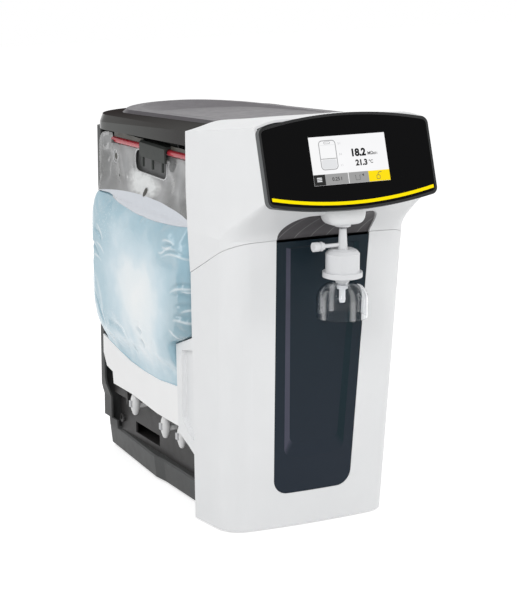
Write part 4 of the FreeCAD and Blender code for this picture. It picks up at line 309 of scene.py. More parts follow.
def panel_material():
    """Navy moulding: paler to its foot, with painted light on what faces right and painted shade on what
    faces left or up.
    """
    made = moulded("navy_moulding", rgb(35, 47, 57), 0.34, uneven=0.03, gloss=0.12)
    tree, shader, facing, spot = reopened(made)
    facing = axes(tree, facing)
    foot = share(tree, axes(tree, spot)["Z"], *PANEL_FOOT_Z)
    tint = blend(tree, foot, rgb(25, 37, 45), rgb(35, 43, 53))
    # Painted light on faces that look right, painted shade on faces that look left or up.
    tint = blend(tree, share(tree, facing["X"], *PANEL_PAINTED_LIGHT_RIGHT), tint, rgb(70, 71, 86))
    tint = blend(tree, share(tree, facing["X"], *PANEL_PAINTED_SHADE_LEFT), tint, rgb(22, 39, 46))
    tint = blend(tree, share(tree, facing["Z"], *PANEL_PAINTED_SHADE_UP), tint, rgb(24, 40, 49))
    tree.links.new(tint, shader.inputs["Base Color"])
    return made


def lid_material():
    """Dark moulding, matt on its upper faces, glossy on its upright band, with painted light and shade that
    run to the rear.
    """
    made = moulded("lid_moulding", rgb(60, 57, 56), 0.34, uneven=0.04, gloss=0.0)
    tree, shader, facing, spot = reopened(made)
    facing = axes(tree, facing)
    coat = share(tree, facing["Z"], *LID_UPRIGHT, most=LID_COAT)
    coat = maths(tree, "MAXIMUM", coat, share(tree, facing["Y"], *LID_REAR_FACING))
    tree.links.new(coat, shader.inputs["Coat Weight"])
    shader.inputs["Coat Roughness"].default_value = 0.16
    # Painted light and shade: the upright band lighter to the rear, the upper faces lighter to the front.
    rear = share(tree, axes(tree, spot)["Y"], *LID_PAINTED_LIGHT_Y)
    band = blend(tree, rear, rgb(36, 34, 33), rgb(92, 94, 92))
    top = blend(tree, rear, rgb(74, 73, 72), rgb(54, 50, 49))
    tint = blend(tree, share(tree, facing["Z"], *LID_UPRIGHT), top, band)
    tree.links.new(tint, shader.inputs["Base Color"])
    return made


def dress(node, made):
    """Gives a CAD node a material in place of its plain one."""
    slots = NODES[node].material_slots
    for spot in slots:
        spot.material = made
    if not slots:
        NODES[node].data.materials.append(made)


# ---------------------------------------------------------------- camera, light, floor

LENS_PIXELS = 2038.33
FRAME_HEIGHT = 605
SENSOR = 36.0
CAMERA_AT = (-1.2428, -2.4472, 0.8932)
CAMERA_YAW = -27.154
CAMERA_PITCH = 12.843
WORLD_FILL = 0.55
FLOOR_HALF = 6.0

# Lamps: name, place, what they look at and size in m, and power in W.
LAMPS = (
    ("key_softbox", (-1.9, -2.1, 1.9), (0, 0, 0.3), (1.6, 1.6), 37),
    ("front_softbox", (2.2, -1.5, 1.1), (0, 0, 0.3), (1.0, 1.6), 19),
    ("top_softbox", (0.1, 0.3, 2.2), (0, 0.1, 0.4), (1.4, 1.8), 7),
    ("rear_softbox", (-2.2, 1.9, 0.9), (0, 0.2, 0.3), (0.7, 1.6), 8),
)


def link(thing):
    bpy.context.scene.collection.objects.link(thing)


def add_camera():
    lens = bpy.data.cameras.new("camera")
    lens.sensor_fit = "VERTICAL"
    lens.sensor_height = SENSOR
    lens.lens = LENS_PIXELS / FRAME_HEIGHT * SENSOR
    lens.clip_end = 50
    camera = bpy.data.objects.new("camera", lens)
    camera.location = CAMERA_AT
    camera.rotation_euler = (math.radians(90 - CAMERA_PITCH), 0, math.radians(CAMERA_YAW))
    link(camera)
    bpy.context.scene.camera = camera


def add_lamp(name, at, aim, size, power):
    light = bpy.data.lights.new(name, "AREA")
    light.shape = "RECTANGLE"
    light.size, light.size_y = size
    light.energy = power
    lamp = bpy.data.objects.new(name, light)
    lamp.location = at
    lamp.rotation_euler = (Vector(aim) - Vector(at)).to_track_quat("-Z", "Y").to_euler()
    link(lamp)


def seen_share(tree):
    """1 where the camera, a mirror or a clear piece looks at the background, else 0."""
    path = tree.nodes.new("ShaderNodeLightPath")
    total = path.outputs["Is Camera Ray"]
    for way in ("Is Glossy Ray", "Is Transmission Ray"):
        total = maths(tree, "MAXIMUM", total, path.outputs[way])
    return total


def two_faced(tree, plain, seen, output):
    """A surface that shows one shader where it is looked at, and lights the rest with another."""
    mix = add_node(tree, "MixShader", {"Fac": seen_share(tree), 1: plain.outputs[0], 2: seen.outputs[0]})
    add_node(tree, output, {"Surface": mix.outputs[0]})


def add_world():
    """A soft even fill, which is plain white where it is looked at."""
    world = bpy.data.worlds.new("studio")
    bpy.context.scene.world = world
    world.use_nodes = True
    tree = world.node_tree
    tree.nodes.clear()
    soft = add_node(tree, "Background", {"Color": (1, 1, 1, 1), "Strength": WORLD_FILL})
    white = add_node(tree, "Background", {"Color": (1, 1, 1, 1), "Strength": 1.0})
    two_faced(tree, soft, white, "OutputWorld")


def add_floor():
    """A plain pale floor that shows white and keeps the object's shadow."""
    made = bpy.data.materials.new("pale_floor")
    made.use_nodes = True
    tree = made.node_tree
    tree.nodes.clear()
    paper = add_node(tree, "BsdfDiffuse", {"Color": (0.78, 0.78, 0.78, 1)})
    glow = add_node(tree, "Emission", {"Color": (1, 1, 1, 1), "Strength": 0.6})
    both = add_node(tree, "AddShader", {0: paper.outputs[0], 1: glow.outputs[0]})
    two_faced(tree, paper, both, "OutputMaterial")
    corners = [(x * FLOOR_HALF, y * FLOOR_HALF, 0) for x, y in ((-1, -1), (1, -1), (1, 1), (-1, 1))]
    mesh = bpy.data.meshes.new("floor")
    mesh.from_pydata(corners, [], [(0, 1, 2, 3)])
    mesh.materials.append(made)
    floor = bpy.data.objects.new("floor", mesh)
    link(floor)


def set_studio():
    add_camera()
    add_world()
    for lamp in LAMPS:
        add_lamp(*lamp)
    add_floor()
    bpy.context.scene.view_settings.view_transform = "Standard"


# ---------------------------------------------------------------- CAD nodes

def dress_nodes():
    white = moulded("white_moulding", rgb(232, 233, 234), 0.42, depth=0.012 * MM, uneven=0.012, gloss=0.4)
    navy = panel_material()
    insert = arch_material()
    bezel = bezel_material()
    glass = moulded("display_cover", rgb(5, 5, 6), 0.1, grain=30 * MM, depth=0.0, uneven=0.1, gloss=0.06)
    yellow = moulded("yellow_band", rgb(255, 229, 0), 0.35, uneven=0.01, gloss=0.05)
    milky = moulded("milky_plastic", rgb(218, 219, 221), 0.3, depth=0.006 * MM, uneven=0.01, coat=0.2)
    black_rubber = moulded("black_rubber", rgb(26, 26, 27), 0.75, depth=0.03 * MM)
    dark = moulded("dark_moulding", rgb(78, 79, 79), 0.42, uneven=0.04, gloss=0.1)
    housing = moulded("housing_moulding", rgb(56, 55, 55), 0.4, uneven=0.04, gloss=0.15)
    lid = lid_material()
    cover = moulded("cover_moulding", rgb(96, 93, 97), 0.32, uneven=0.02, gloss=0.04)
    wall = moulded("wall_moulding", rgb(96, 97, 97), 0.5, uneven=0.04, gloss=0.2)
    latch = moulded("hook_moulding", rgb(64, 67, 65), 0.42, gloss=0.08)
    tray = moulded("tray_moulding", rgb(243, 243, 243), 0.38, uneven=0.012)
    port = moulded("port_moulding", rgb(226, 226, 226), 0.3, uneven=0.02, coat=0.2)
    pale = moulded("pale_grey_moulding", rgb(196, 197, 199), 0.4)
    blue_tank = moulded("cartridge_moulding", rgb(204, 214, 224), 0.32)
    inlet = moulded("inlet_moulding", rgb(34, 34, 35), 0.4)
    paint = moulded("pump_paint", rgb(46, 47, 50), 0.4, grain=1.2 * MM, depth=0.03 * MM, coat=0.3)
    streaky = {"grain": 9 * MM, "depth": 0.05 * MM, "uneven": 0.14, "gloss": 0.3, "coat": 0.25}
    rod = moulded("red_rod", rgb(186, 52, 64), 0.26, **streaky)
    steel = metal("turned_steel", rgb(190, 192, 196), 0.28)
    tin = metal("folded_sheet", rgb(196, 198, 200), 0.42, stretch=(1, 0.05, 1))
    bell = bell_material()
    tube = clear("lamp_tube", (0.96, 0.97, 0.99), 0.02, 1.46)
    soft_hose = moulded("soft_hose", rgb(218, 224, 228), 0.25, coat=0.4)
    board = board_material()
    groups = [
        (white, "front_shell head_shell dispense_pod side_door"),
        (navy, "vessel_panel"),
        (insert, "head_insert"),
        (bezel, "display_bezel"),
        (glass, "display_glass"),
        (lit("lit_screen", rgb(247, 247, 248)), "display_screen"),
        (yellow, "display_stripe"),
        (milky, "outlet_collar filter_housing filter_base filter_membrane vent_arm vent_cap"),
        (black_rubber, "seal_ring rubber_feet"),
        (dark, "base_pan rear_housing"),
        (housing, "lower_housing"),
        (lid, "lid_frame"),
        (cover, "top_cover"),
        (wall, "bay_wall front_bulkhead cartridge_holder"),
        (latch, "hook_latch"),
        (tray, "bag_tray"),
        (port, "port_coupling_1 port_coupling_2 port_coupling_3 manifold rear_fittings"),
        (pale, "coupling_latch_1 coupling_latch_2 coupling_latch_3"),
        (blue_tank, "cartridge"),
        (inlet, "mains_inlet power_switch power_rocker"),
        (paint, "booster_pump dispense_valve"),
        (rod, "hanger_rod"),
        (steel, "outlet_spigot latch_pin hinge_pins base_screws uv_housing conductivity_cell pump_motor"),
        (tin, "power_supply"),
        (bell, "bell"),
        (tube, "uv_lamp"),
        (soft_hose, "inner_hoses"),
        (board, "display_board main_board level_sensor"),
    ]
    for made, names in groups:
        for name in names.split():
            dress(name, made)


# ---------------------------------------------------------------- mesh helpers

def add_object(name, mesh, body, made, smooth=True):
    """A finished mesh as a piece of the object, in the row frame."""
    mesh.materials.clear()
    mesh.materials.append(made)
    for face in mesh.polygons:
        face.use_smooth = smooth
    piece = bpy.data.objects.new(name, mesh)
    link(piece)
    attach(piece, body)
    return piece


def baked(passing):
    """The mesh that a passing object shows. The object itself is removed."""
    depsgraph = bpy.context.evaluated_depsgraph_get()
    result = bpy.data.meshes.new_from_object(passing.evaluated_get(depsgraph))
    bpy.data.objects.remove(passing)
    return result


def with_modifiers(name, mesh, add):
    """The mesh that a set of modifiers makes of this one. add sets them on a passing object."""
    passing = bpy.data.objects.new(name, mesh)
    link(passing)
    add(passing)
    return baked(passing)


def from_form(name, form):
    """A mesh from a bmesh, which is freed."""
    mesh = bpy.data.meshes.new(name)
    form.to_mesh(mesh)
    form.free()
    return mesh


def places(mesh):
    spots = np.empty(len(mesh.vertices) * 3)
    mesh.vertices.foreach_get("co", spots)
    return spots.reshape(-1, 3)


def set_places(mesh, spots):
    mesh.vertices.foreach_set("co", spots.ravel())
    mesh.update()


def normals(mesh):
    ways = np.empty(len(mesh.vertices) * 3)
    mesh.vertices.foreach_get("normal", ways)
    return ways.reshape(-1, 3)


def smooth_step(low, high, value):
    """0 below low and 1 above high, with an even start and end."""
    along = np.clip((value - low) / (high - low), 0, 1)
    return along * along * (3 - 2 * along)


def cloud(spots, size, seed):
    """Noise from -1 to 1 at each place, with blobs of that size."""
    return np.array([noise.noise(Vector(spot) / size + Vector((seed, seed, seed))) for spot in spots])


def curve_mesh(name, add_splines, bevel=0.0, extrude=0.0, fill=False):
    """A mesh made from a curve: a tube where it has a bevel, a plate where it is filled."""
    curve = bpy.data.curves.new(name, "CURVE")
    curve.dimensions = "2D" if fill else "3D"
    curve.fill_mode = "BOTH" if fill else "FULL"
    curve.bevel_depth = bevel
    curve.bevel_resolution = 3
    curve.extrude = extrude
    add_splines(curve)
    passing = bpy.data.objects.new(name, curve)
    link(passing)
    return baked(passing)


def add_ring(curve, points):
    """A closed line through the points."""
    spline = curve.splines.new("POLY")
    spline.points.add(len(points) - 1)
    for spot, point in zip(spline.points, points):
        spot.co = (*point, *([0] * (3 - len(point))), 1)
    spline.use_cyclic_u = True


def rounded(left, low, right, high, radius):
    """Corner points of a rounded rectangle, anticlockwise."""
    steps = 6
    points = []
    corners = ((right, high, 0), (left, high, 90), (left, low, 180), (right, low, 270))
    for x, y, start in corners:
        cx = x - math.copysign(radius, x - (left + right) / 2)
        cy = y - math.copysign(radius, y - (low + high) / 2)
        for step in range(steps + 1):
            turn = math.radians(start + 90 * step / steps)
            points.append((cx + radius * math.cos(turn), cy + radius * math.sin(turn)))
    return points


# ---------------------------------------------------------------- water bag

BAG_VOXEL = 3.2 * MM
BAG_STEPS = 14
BAG_PRESSURE = 3.0
BAG_CAP = 2.5 * MM
BAG_SHRINK = 0.4 * MM
BAG_BULGE = 2.6 * MM
BAG_SAG = 1.5 * MM

# Where the bag's changes begin and are full: leftwards (x), along (y) and up (z), in m.
BAG_SIDE_X = (0.105, 0.122)
BAG_PROUD_X = (0.116, 0.132)
BAG_PROUD_Z = (0.12, 0.2)
BAG_SAG_FOOT_Z = (0.188, 0.208)
BAG_SAG_TOP_Z = (0.215, 0.275)
BAG_SAG_Y = (-0.08, 0.02)

# A level that curves along the bag: the y and z of its lowest or highest place, and its curve.
WATER_LINE = (0.048, 0.389, 0.0005)
BAND_TINT = rgb(208, 213, 221)

# Patches on the bag's side: middle (y, z), reach in y, and height as a share of that. The first is painted
# light, the next two painted shade, the last the droplets.
BAG_PAINTED_LIGHT = ((0.076, 0.272), 0.165, 0.86)
BAG_SHADOW = ((-0.100, 0.235), 0.095, 1.2)
BAG_PAINTED_SHADE = ((0.195, 0.362), 0.060, 1.1)
BAG_DROPS = (((0.172, 0.362), 0.062, 0.7), ((0.150, 0.222), 0.060, 0.5))

# Folds in the film: middle (y, z), turn from +y in degrees, length, width and height, in mm.
# A fold with a height above 0 stands out as a ridge, and one below 0 is a valley.
BAG_FOLDS = (
    (198, 347, -138, 32, 3.0, 1.0),
    (203, 342, -150, 30, 6, -2.2),
    (216, 324, -145, 32, 3.0, 1.2),
    (198, 324, -157, 34, 3.0, 1.1),
    (212, 318, -142, 40, 6, -2.2),
    (208, 308, -170, 32, 3.0, 0.8),
    (-31, 371, 180, 36, 2.8, 0.9),
    (-32, 364, -16, 38, 2.8, 0.9),
    (-34, 367, 176, 34, 4, -0.9),
    (-38, 360, 168, 52, 2.6, 0.6),
    (-14, 354, -18, 24, 3.0, 1.1),
    (-50, 353, 176, 88, 2.8, 1.1),
    (-46, 358, 172, 70, 4, -1.0),
    (-68, 311, 170, 64, 3.0, 1.1),
    (-67, 317, 167, 62, 4, -1.7),
    (-68, 304, 179, 60, 5, -2.2),
    (-80, 309, -177, 30, 2.6, 0.8),
    (-83, 286, 168, 30, 2.8, 0.9),
    (-73, 291, 171, 52, 5, -1.9),
    (-72, 268, -176, 52, 3.0, 1.1),
    (-71, 275, 178, 54, 6, -2.2),
    (-50, 246, -153, 34, 3.0, 1.1),
    (-72, 254, -160, 44, 10, -1.8),
    (-77, 386, -74, 34, 14, -2.4),
    (-26, 340, 176, 108, 18, -1.2),
    (202, 250, -112, 84, 7, 1.2),
    (210, 234, -122, 64, 6, -1.8),
    (150, 216, -172, 54, 12, -1.8),
    (67, 228, -150, 16, 7, -1.6),
    (64, 211, -143, 16, 7, -1.6),
)


def bag_folds(y, z):
    """How far each place on the bag's side stands out, and how sharp its fold is, -1 to 1."""
    height = np.zeros(len(y))
    sharp = np.zeros(len(y))
    for mid_y, mid_z, turn, length, width, rise in BAG_FOLDS:
        along_y, along_z = math.cos(math.radians(turn)), math.sin(math.radians(turn))
        dy, dz = y - mid_y * MM, z - mid_z * MM
        along = (dy * along_y + dz * along_z) / (length * MM / 2)
        bow = 0.1 * length * MM * (along**2 - 0.4)
        across = (-dy * along_z + dz * along_y - bow) / (width * MM / 2)
        fade = np.clip(1 - along**2, 0, 1) ** 0.8
        line = fade * np.exp(-(across**2))
        height += rise * MM * line
        sharp += math.copysign(min(0.8, 2.4 / width + 0.1), rise) * line
    return height, np.clip(sharp, -1, 1)


def inflate(mesh):
    """The film under a little pressure: cloth, with each point kept near its start."""
    start = places(mesh) - normals(mesh) * BAG_SHRINK
    set_places(mesh, start)
    passing = bpy.data.objects.new("bag_cloth", mesh)
    link(passing)
    cloth = passing.modifiers.new("cloth", "CLOTH")
    cloth.settings.quality = 4
    cloth.settings.mass = 0.05
    cloth.settings.tension_stiffness = 25
    cloth.settings.compression_stiffness = 25
    cloth.settings.bending_stiffness = 0.3
    cloth.settings.use_pressure = True
    cloth.settings.uniform_pressure_force = BAG_PRESSURE
    cloth.settings.effector_weights.gravity = 0
    cloth.point_cache.frame_start = 1
    cloth.point_cache.frame_end = BAG_STEPS
    for step in range(1, BAG_STEPS + 1):
        bpy.context.scene.frame_set(step)
    result = baked(passing)
    bpy.context.scene.frame_set(1)
    moved = places(result) - start
    far = np.linalg.norm(moved, axis=1)
    moved *= (np.minimum(far, BAG_CAP) / np.maximum(far, 1e-9))[:, None]
    set_places(result, start + moved)
    return result


def bag_material():
    """Film round blue-tinted water: painted light in the middle, patches of painted shade, folds with painted
    shade and highlights, and droplets.
    """
    made, tree, shader, place = new_material("water_film")
    painted_middle = spot_field(tree, place, *BAG_PAINTED_LIGHT)
    swirl = noise_field(tree, place, 75 * MM, 3.0, 2.2)
    # Deeper blue at the edges, running to painted light in the middle.
    depth = ramp(
        tree,
        maths(tree, "ADD", painted_middle, spread(tree, swirl, -0.16, 0.16)),
        [
            (0.0, rgb(146, 181, 196)),
            (0.22, rgb(160, 193, 207)),
            (0.45, rgb(190, 213, 224)),
            (0.68, rgb(225, 234, 238)),
            (1.0, rgb(236, 240, 241)),
        ],
    )
    # Painted shade in two patches.
    for patch, weight, tint in ((BAG_SHADOW, 0.95, rgb(116, 144, 154)), (BAG_PAINTED_SHADE, 0.6, rgb(150, 187, 202))):
        depth = blend(tree, maths(tree, "MULTIPLY", spot_field(tree, place, *patch), weight), depth, tint)
    fold = tree.nodes.new("ShaderNodeAttribute")
    fold.attribute_name = "fold"
    # Painted shade in the folds' valleys, and painted highlights on their ridges.
    for weight, tint in ((-0.85, rgb(112, 146, 160)), (0.8, rgb(238, 243, 245))):
        part = maths(tree, "MULTIPLY", fold.outputs["Fac"], weight)
        depth = blend(tree, maths(tree, "MAXIMUM", part, 0.0), depth, tint)
    drops = add_node(tree, "TexVoronoi", {"Scale": 300, "Vector": place})
    beads = ramp(tree, drops.outputs["Distance"], [(0.16, (1, 1, 1)), (0.3, (0, 0, 0))])
    cluster = maths(tree, "ADD", *(spot_field(tree, place, *patch) for patch in BAG_DROPS))
    flecks = maths(tree, "MULTIPLY", beads, maths(tree, "MULTIPLY", cluster, 1.1))
    depth = blend(tree, flecks, depth, rgb(208, 228, 234))
    tint = blend(tree, above_line(tree, place, WATER_LINE), depth, BAND_TINT)
    tree.links.new(tint, shader.inputs["Base Color"])
    bumped(tree, shader, beads, 0.1 * MM, 0.4)
    rough = noise_field(tree, place, 18 * MM, 2.0, 3.3)
    tree.links.new(spread(tree, rough, 0.14, 0.26), shader.inputs["Roughness"])
    shader.inputs["Specular IOR Level"].default_value = 0.4
    shader.inputs["Coat Weight"].default_value = 0.5
    shader.inputs["Coat Roughness"].default_value = 0.05
    return made


def above_line(tree, place, line):
    """1 above a level that curves along the bag, and 0 below it."""
    spot = axes(tree, place)
    mid_y, low, curve = line
    along = maths(tree, "SUBTRACT", spot["Y"], mid_y)
    rise = maths(tree, "MULTIPLY", maths(tree, "MULTIPLY", along, along), curve / MM)
    above = maths(tree, "SUBTRACT", spot["Z"], maths(tree, "ADD", rise, low))
    return share(tree, above, -0.3 * MM, 0.3 * MM)


def add_bag():
    """The filled bag: remeshed from its CAD form, blown out a little, then creased."""

    def remesh(passing):
        made = passing.modifiers.new("voxels", "REMESH")
        made.mode = "VOXEL"
        made.voxel_size = BAG_VOXEL
        made.adaptivity = 0
        ease = passing.modifiers.new("ease", "SMOOTH")
        ease.iterations = 6
        ease.factor = 0.5

    def subdivide(passing):
        made = passing.modifiers.new("finer", "SUBSURF")
        made.levels = 1
        made.render_levels = 1

    mesh = with_modifiers("bag_form", NODES["water_bag"].data.copy(), remesh)
    mesh = inflate(mesh)
    mesh = with_modifiers("bag_finer", mesh, subdivide)
    spots = places(mesh)
    ways = normals(mesh)
    low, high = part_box("water_bag")
    outer = smooth_step(0.35, 0.8, -ways[:, 0]) * smooth_step(*BAG_SIDE_X, -spots[:, 0])
    soft = 1.4 * MM * cloud(spots, 55 * MM, 4.2) + 0.6 * MM * cloud(spots, 18 * MM, 8.1)
    rise, sharp = bag_folds(spots[:, 1], spots[:, 2])
    spots = spots + ways * ((rise - np.maximum(soft, -0.6 * MM)) * outer)[:, None]
    proud = smooth_step(*BAG_PROUD_X, -spots[:, 0]) * smooth_step(*BAG_PROUD_Z, spots[:, 2])
    spots[:, 0] -= BAG_BULGE * proud
    slack = smooth_step(*BAG_SAG_FOOT_Z, spots[:, 2]) * (1 - smooth_step(*BAG_SAG_TOP_Z, spots[:, 2]))
    side = smooth_step(0.2, 0.7, -ways[:, 0]) * smooth_step(*BAG_SAG_Y, spots[:, 1])
    spots[:, 0] -= BAG_SAG * slack * side
    spots[:, 1] += BAG_BULGE * proud * smooth_step(0.2, 0.7, ways[:, 1])
    reach = Vector((BAG_BULGE, 0, 0)), Vector((0, BAG_BULGE, 0))
    spots = np.clip(spots, np.array(low - reach[0]), np.array(high + reach[1]))
    set_places(mesh, spots)
    # How sharp each fold is; the material paints shade and highlights from it.
    fold = mesh.attributes.new("fold", "FLOAT", "POINT")
    fold.data.foreach_set("value", sharp * smooth_step(0.1, 0.5, -ways[:, 0]))
    bag = add_object("bag_of_water", mesh, "machine", bag_material())
    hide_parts("water_bag")
    return mesh


# ---------------------------------------------------------------- upper film

FILM_THICK = 0.5 * MM
FILM_GRID = 2.2 * MM
FILM_FOOT_MOST = 0.4005
FILM_OFF_BAG = 0.35 * MM
FILM_REAR_Y = 0.2465
FILM_REAR_Z = 0.4855
FILM_REAR_OUT = 5.2 * MM
ROD_END_Y = 0.2045
EYELET = (0.196, 0.453, 5.6 * MM)
PORT = (0.089, 0.4175, 6.2 * MM)
PIN_HOLE = (0.182, 0.4275, 1.6 * MM)
WINDOW_ROUND = 12.0 * MM
BAND_TOP = (0.075, 0.413, -0.0005)
WINDOW_MARGIN = 6 * MM

# Where the film leaves its plane to the rear, meets the bag and starts to fold, and the rays that find
# the bag's side.
FILM_TURN_Y = (0.214, 0.240)
FILM_LAP_Z = (0.397, 0.428)
FILM_FOLDS_Z = (0.404, 0.418)
BAG_TOP_Z = 0.3985
RAY_START_X = -0.2
RAY_REACH = 0.12

# Patches on the film, as on the bag: a painted glare, and a painted shadow at its front end.
FILM_GLARE = ((0.100, 0.428), 0.060, 0.36)
FILM_PAINTED_SHADOW = ((-0.090, 0.435), 0.075, 1.0)

# The loop over the rod: half its thickness, its height, and what it gains to the rear.
LOOP_HALF = 0.4 * MM
LOOP_HIGH = 5.6 * MM
LOOP_GAIN = 2.0 * MM
LOOP_STEPS = 24


def film_window():
    """The hook's window in the CAD film: its y and z limits, from the film's own edges."""
    spots = places(NODES["bag_film"].data)
    low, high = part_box("bag_film")
    y, z = spots[:, 1], spots[:, 2]
    inside = (y > low.y + WINDOW_MARGIN) & (y < high.y - WINDOW_MARGIN) & (z > low.z + WINDOW_MARGIN)
    return y[inside].min(), z[inside].min(), y[inside].max(), z[inside].max()


def film_folds(y, z, window):
    """How far the crumpled film stands off its flat plane, outwards, at each place."""
    flat = np.stack([y, z * 1.3, y * 0], axis=1)
    ridges = 0.9 - 2.2 * np.abs(cloud(flat, 34 * MM, 2.6))
    small = 0.5 - 1.4 * np.abs(cloud(flat, 13 * MM, 6.3))
    wide = cloud(flat, 80 * MM, 9.4)
    folds = 1.7 * MM * ridges + 0.25 * MM * small + 1.8 * MM * wide
    left, low, right, high = window
    out_y = np.maximum(np.maximum(left - y, y - right), 0)
    out_z = np.maximum(np.maximum(low - z, z - high), 0)
    calm = smooth_step(0.0, 9 * MM, np.sqrt(out_y**2 + out_z**2))
    for hole_y, hole_z, radius in (EYELET, PORT):
        calm = calm * smooth_step(radius, radius + 6 * MM, np.hypot(y - hole_y, z - hole_z))
    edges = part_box("bag_film")
    rim = smooth_step(0, 12 * MM, y - edges[0].y) * smooth_step(0, 12 * MM, FILM_REAR_Y - y)
    hem = smooth_step(*FILM_FOLDS_Z, z) * rim * smooth_step(0, 5 * MM, film_crest(y) - z)
    return folds * calm * hem


def rod_foot(y):
    """The film's top edge under the rod, from the CAD film's own corners."""
    low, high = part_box("bag_film")
    spots = places(NODES["bag_film"].data)
    rear_top = spots[spots[:, 1] > high.y - 1 * MM][:, 2].max()
    return high.z + (rear_top - high.z) * (y - low.y) / (high.y - low.y)


def film_crest(y):
    """The film's top edge: under the rod, then up behind its end, with a round rear corner."""
    behind = smooth_step(ROD_END_Y, ROD_END_Y + 4 * MM, y)
    turn = 24 * MM
    into = np.clip((y - (FILM_REAR_Y - turn)) / turn, 0, 1)
    corner = FILM_REAR_Z - turn * (1 - np.sqrt(np.maximum(1 - into**2, 0)))
    return rod_foot(y) * (1 - behind) + corner * behind


def prism(name, points, near, far):
    """A solid with that outline in y and z, from x near to far."""
    form = bmesh.new()
    ends = [[form.verts.new((x, y, z)) for y, z in points] for x in (near, far)]
    form.faces.new(ends[0])
    form.faces.new(list(reversed(ends[1])))
    count = len(points)
    for i in range(count):
        j = (i + 1) % count
        form.faces.new((ends[0][j], ends[0][i], ends[1][i], ends[1][j]))
    bmesh.ops.recalc_face_normals(form, faces=form.faces)
    piece = bpy.data.objects.new(name, from_form(name, form))
    link(piece)
    return piece


def circle(y, z, radius, steps=28):
    turns = [math.tau * i / steps for i in range(steps)]
    return [(y + radius * math.cos(t), z + radius * math.sin(t)) for t in turns]


def film_material():
    """Crinkled film: grey, with a patch of painted glare, painted shadow at its front end and a pale welded
    band at its foot.
    """
    made, tree, shader, place = new_material("crinkled_film")
    mist = noise_field(tree, place, 60 * MM, 1.5, 1.9)
    tones = [(0.34, rgb(112, 113, 112)), (0.5, rgb(136, 137, 137)), (0.66, rgb(166, 167, 168))]
    tint = ramp(tree, mist, tones)
    # Painted glare from noise glints in one patch, and painted shadow at the front end.
    glints = maths(tree, "MULTIPLY", noise_field(tree, place, 16 * MM, 1.0, 5.1, (1, 1, 2.2)), 4.6)
    glare = maths(tree, "MULTIPLY", spot_field(tree, place, *FILM_GLARE), glints)
    tint = blend(tree, spot_field(tree, place, *FILM_PAINTED_SHADOW), tint, rgb(78, 78, 77))
    tint = blend(tree, glare, tint, rgb(240, 242, 242))
    above = above_line(tree, place, BAND_TOP)
    tint = blend(tree, above, BAND_TINT, tint)
    tree.links.new(tint, shader.inputs["Base Color"])
    see = maths(tree, "MULTIPLY", above, -0.22)
    tree.links.new(maths(tree, "ADD", see, 0.98), shader.inputs["Alpha"])
    rough = noise_field(tree, place, 8 * MM, 2.0, 4.4)
    tree.links.new(spread(tree, rough, 0.12, 0.24), shader.inputs["Roughness"])
    bumped(tree, shader, noise_field(tree, place, 9 * MM, 1.0, 7.7), 0.06 * MM, 0.4)
    shader.inputs["Coat Weight"].default_value = 0.6
    shader.inputs["Coat Roughness"].default_value = 0.05
    return made


def film_foot(y):
    """The film's lower edge on the bag: the water's edge, but no higher than the bag's top."""
    mid_y, low, curve = WATER_LINE
    return min(low + curve / MM * (y - mid_y) ** 2, FILM_FOOT_MOST)


def film_lie(y, z, plane, skin):
    """Where the flat film lies: on its plane, outwards to the rear, and down onto the bag's top."""
    x = plane - FILM_REAR_OUT * smooth_step(*FILM_TURN_Y, y)
    hits = np.empty(len(y))
    for i in range(len(y)):
        start = Vector((RAY_START_X, y[i], min(z[i], BAG_TOP_Z)))
        hit = skin.ray_cast(start, Vector((1, 0, 0)), RAY_REACH)[0]
        hits[i] = hit.x if hit is not None else x[i]
    on_bag = np.minimum(hits - FILM_OFF_BAG, x)
    return x + (on_bag - x) * (1 - smooth_step(*FILM_LAP_Z, z))


def add_film(bag_mesh):
    """The bag's upper film, with the hook's window, an eyelet, a pin hole and a port."""
    low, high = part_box("bag_film")
    window = film_window()
    plane = (low.x + high.x) / 2
    skin = BVHTree.FromPolygons(
        [spot.co.copy() for spot in bag_mesh.vertices], [tuple(face.vertices) for face in bag_mesh.polygons]
    )
    columns = int((FILM_REAR_Y - low.y) / FILM_GRID)
    rows = int((high.z - WATER_LINE[1]) / FILM_GRID)
    form = bmesh.new()
    grid = []
    for row in range(rows + 1):
        line = []
        for column in range(columns + 1):
            y = low.y + (FILM_REAR_Y - low.y) * column / columns
            foot = film_foot(y)
            z = foot + (float(film_crest(y)) - foot) * row / rows
            line.append(form.verts.new((plane, y, z)))
        grid.append(line)
    for line, above in zip(grid, grid[1:]):
        for i in range(columns):
            form.faces.new((line[i], line[i + 1], above[i + 1], above[i]))
    mesh = from_form("film_sheet", form)
    outlines = (rounded(*window, WINDOW_ROUND), circle(*EYELET), circle(*PORT), circle(*PIN_HOLE, 14))
    holes = [prism("film_hole", outline, plane - 0.01, plane + 0.01) for outline in outlines]

    def thicken_and_cut(passing):
        thick = passing.modifiers.new("thick", "SOLIDIFY")
        thick.thickness = FILM_THICK
        thick.offset = 0
        for hole in holes:
            cut = passing.modifiers.new("cut", "BOOLEAN")
            cut.operation = "DIFFERENCE"
            cut.object = hole
            cut.solver = "EXACT"

    mesh = with_modifiers("film_cut", mesh, thicken_and_cut)
    for hole in holes:
        bpy.data.objects.remove(hole)
    spots = places(mesh)
    y, z = spots[:, 1].copy(), spots[:, 2].copy()

    def lie(y, z):
        return film_lie(y, z, plane, skin) - film_folds(y, z, window)

    spots[:, 0] += lie(y, z) - plane
    set_places(mesh, spots)
    film = add_object("upper_film", mesh, "machine", film_material())
    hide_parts("bag_film")
    add_film_trim(lie, window)
    add_film_loop(plane)


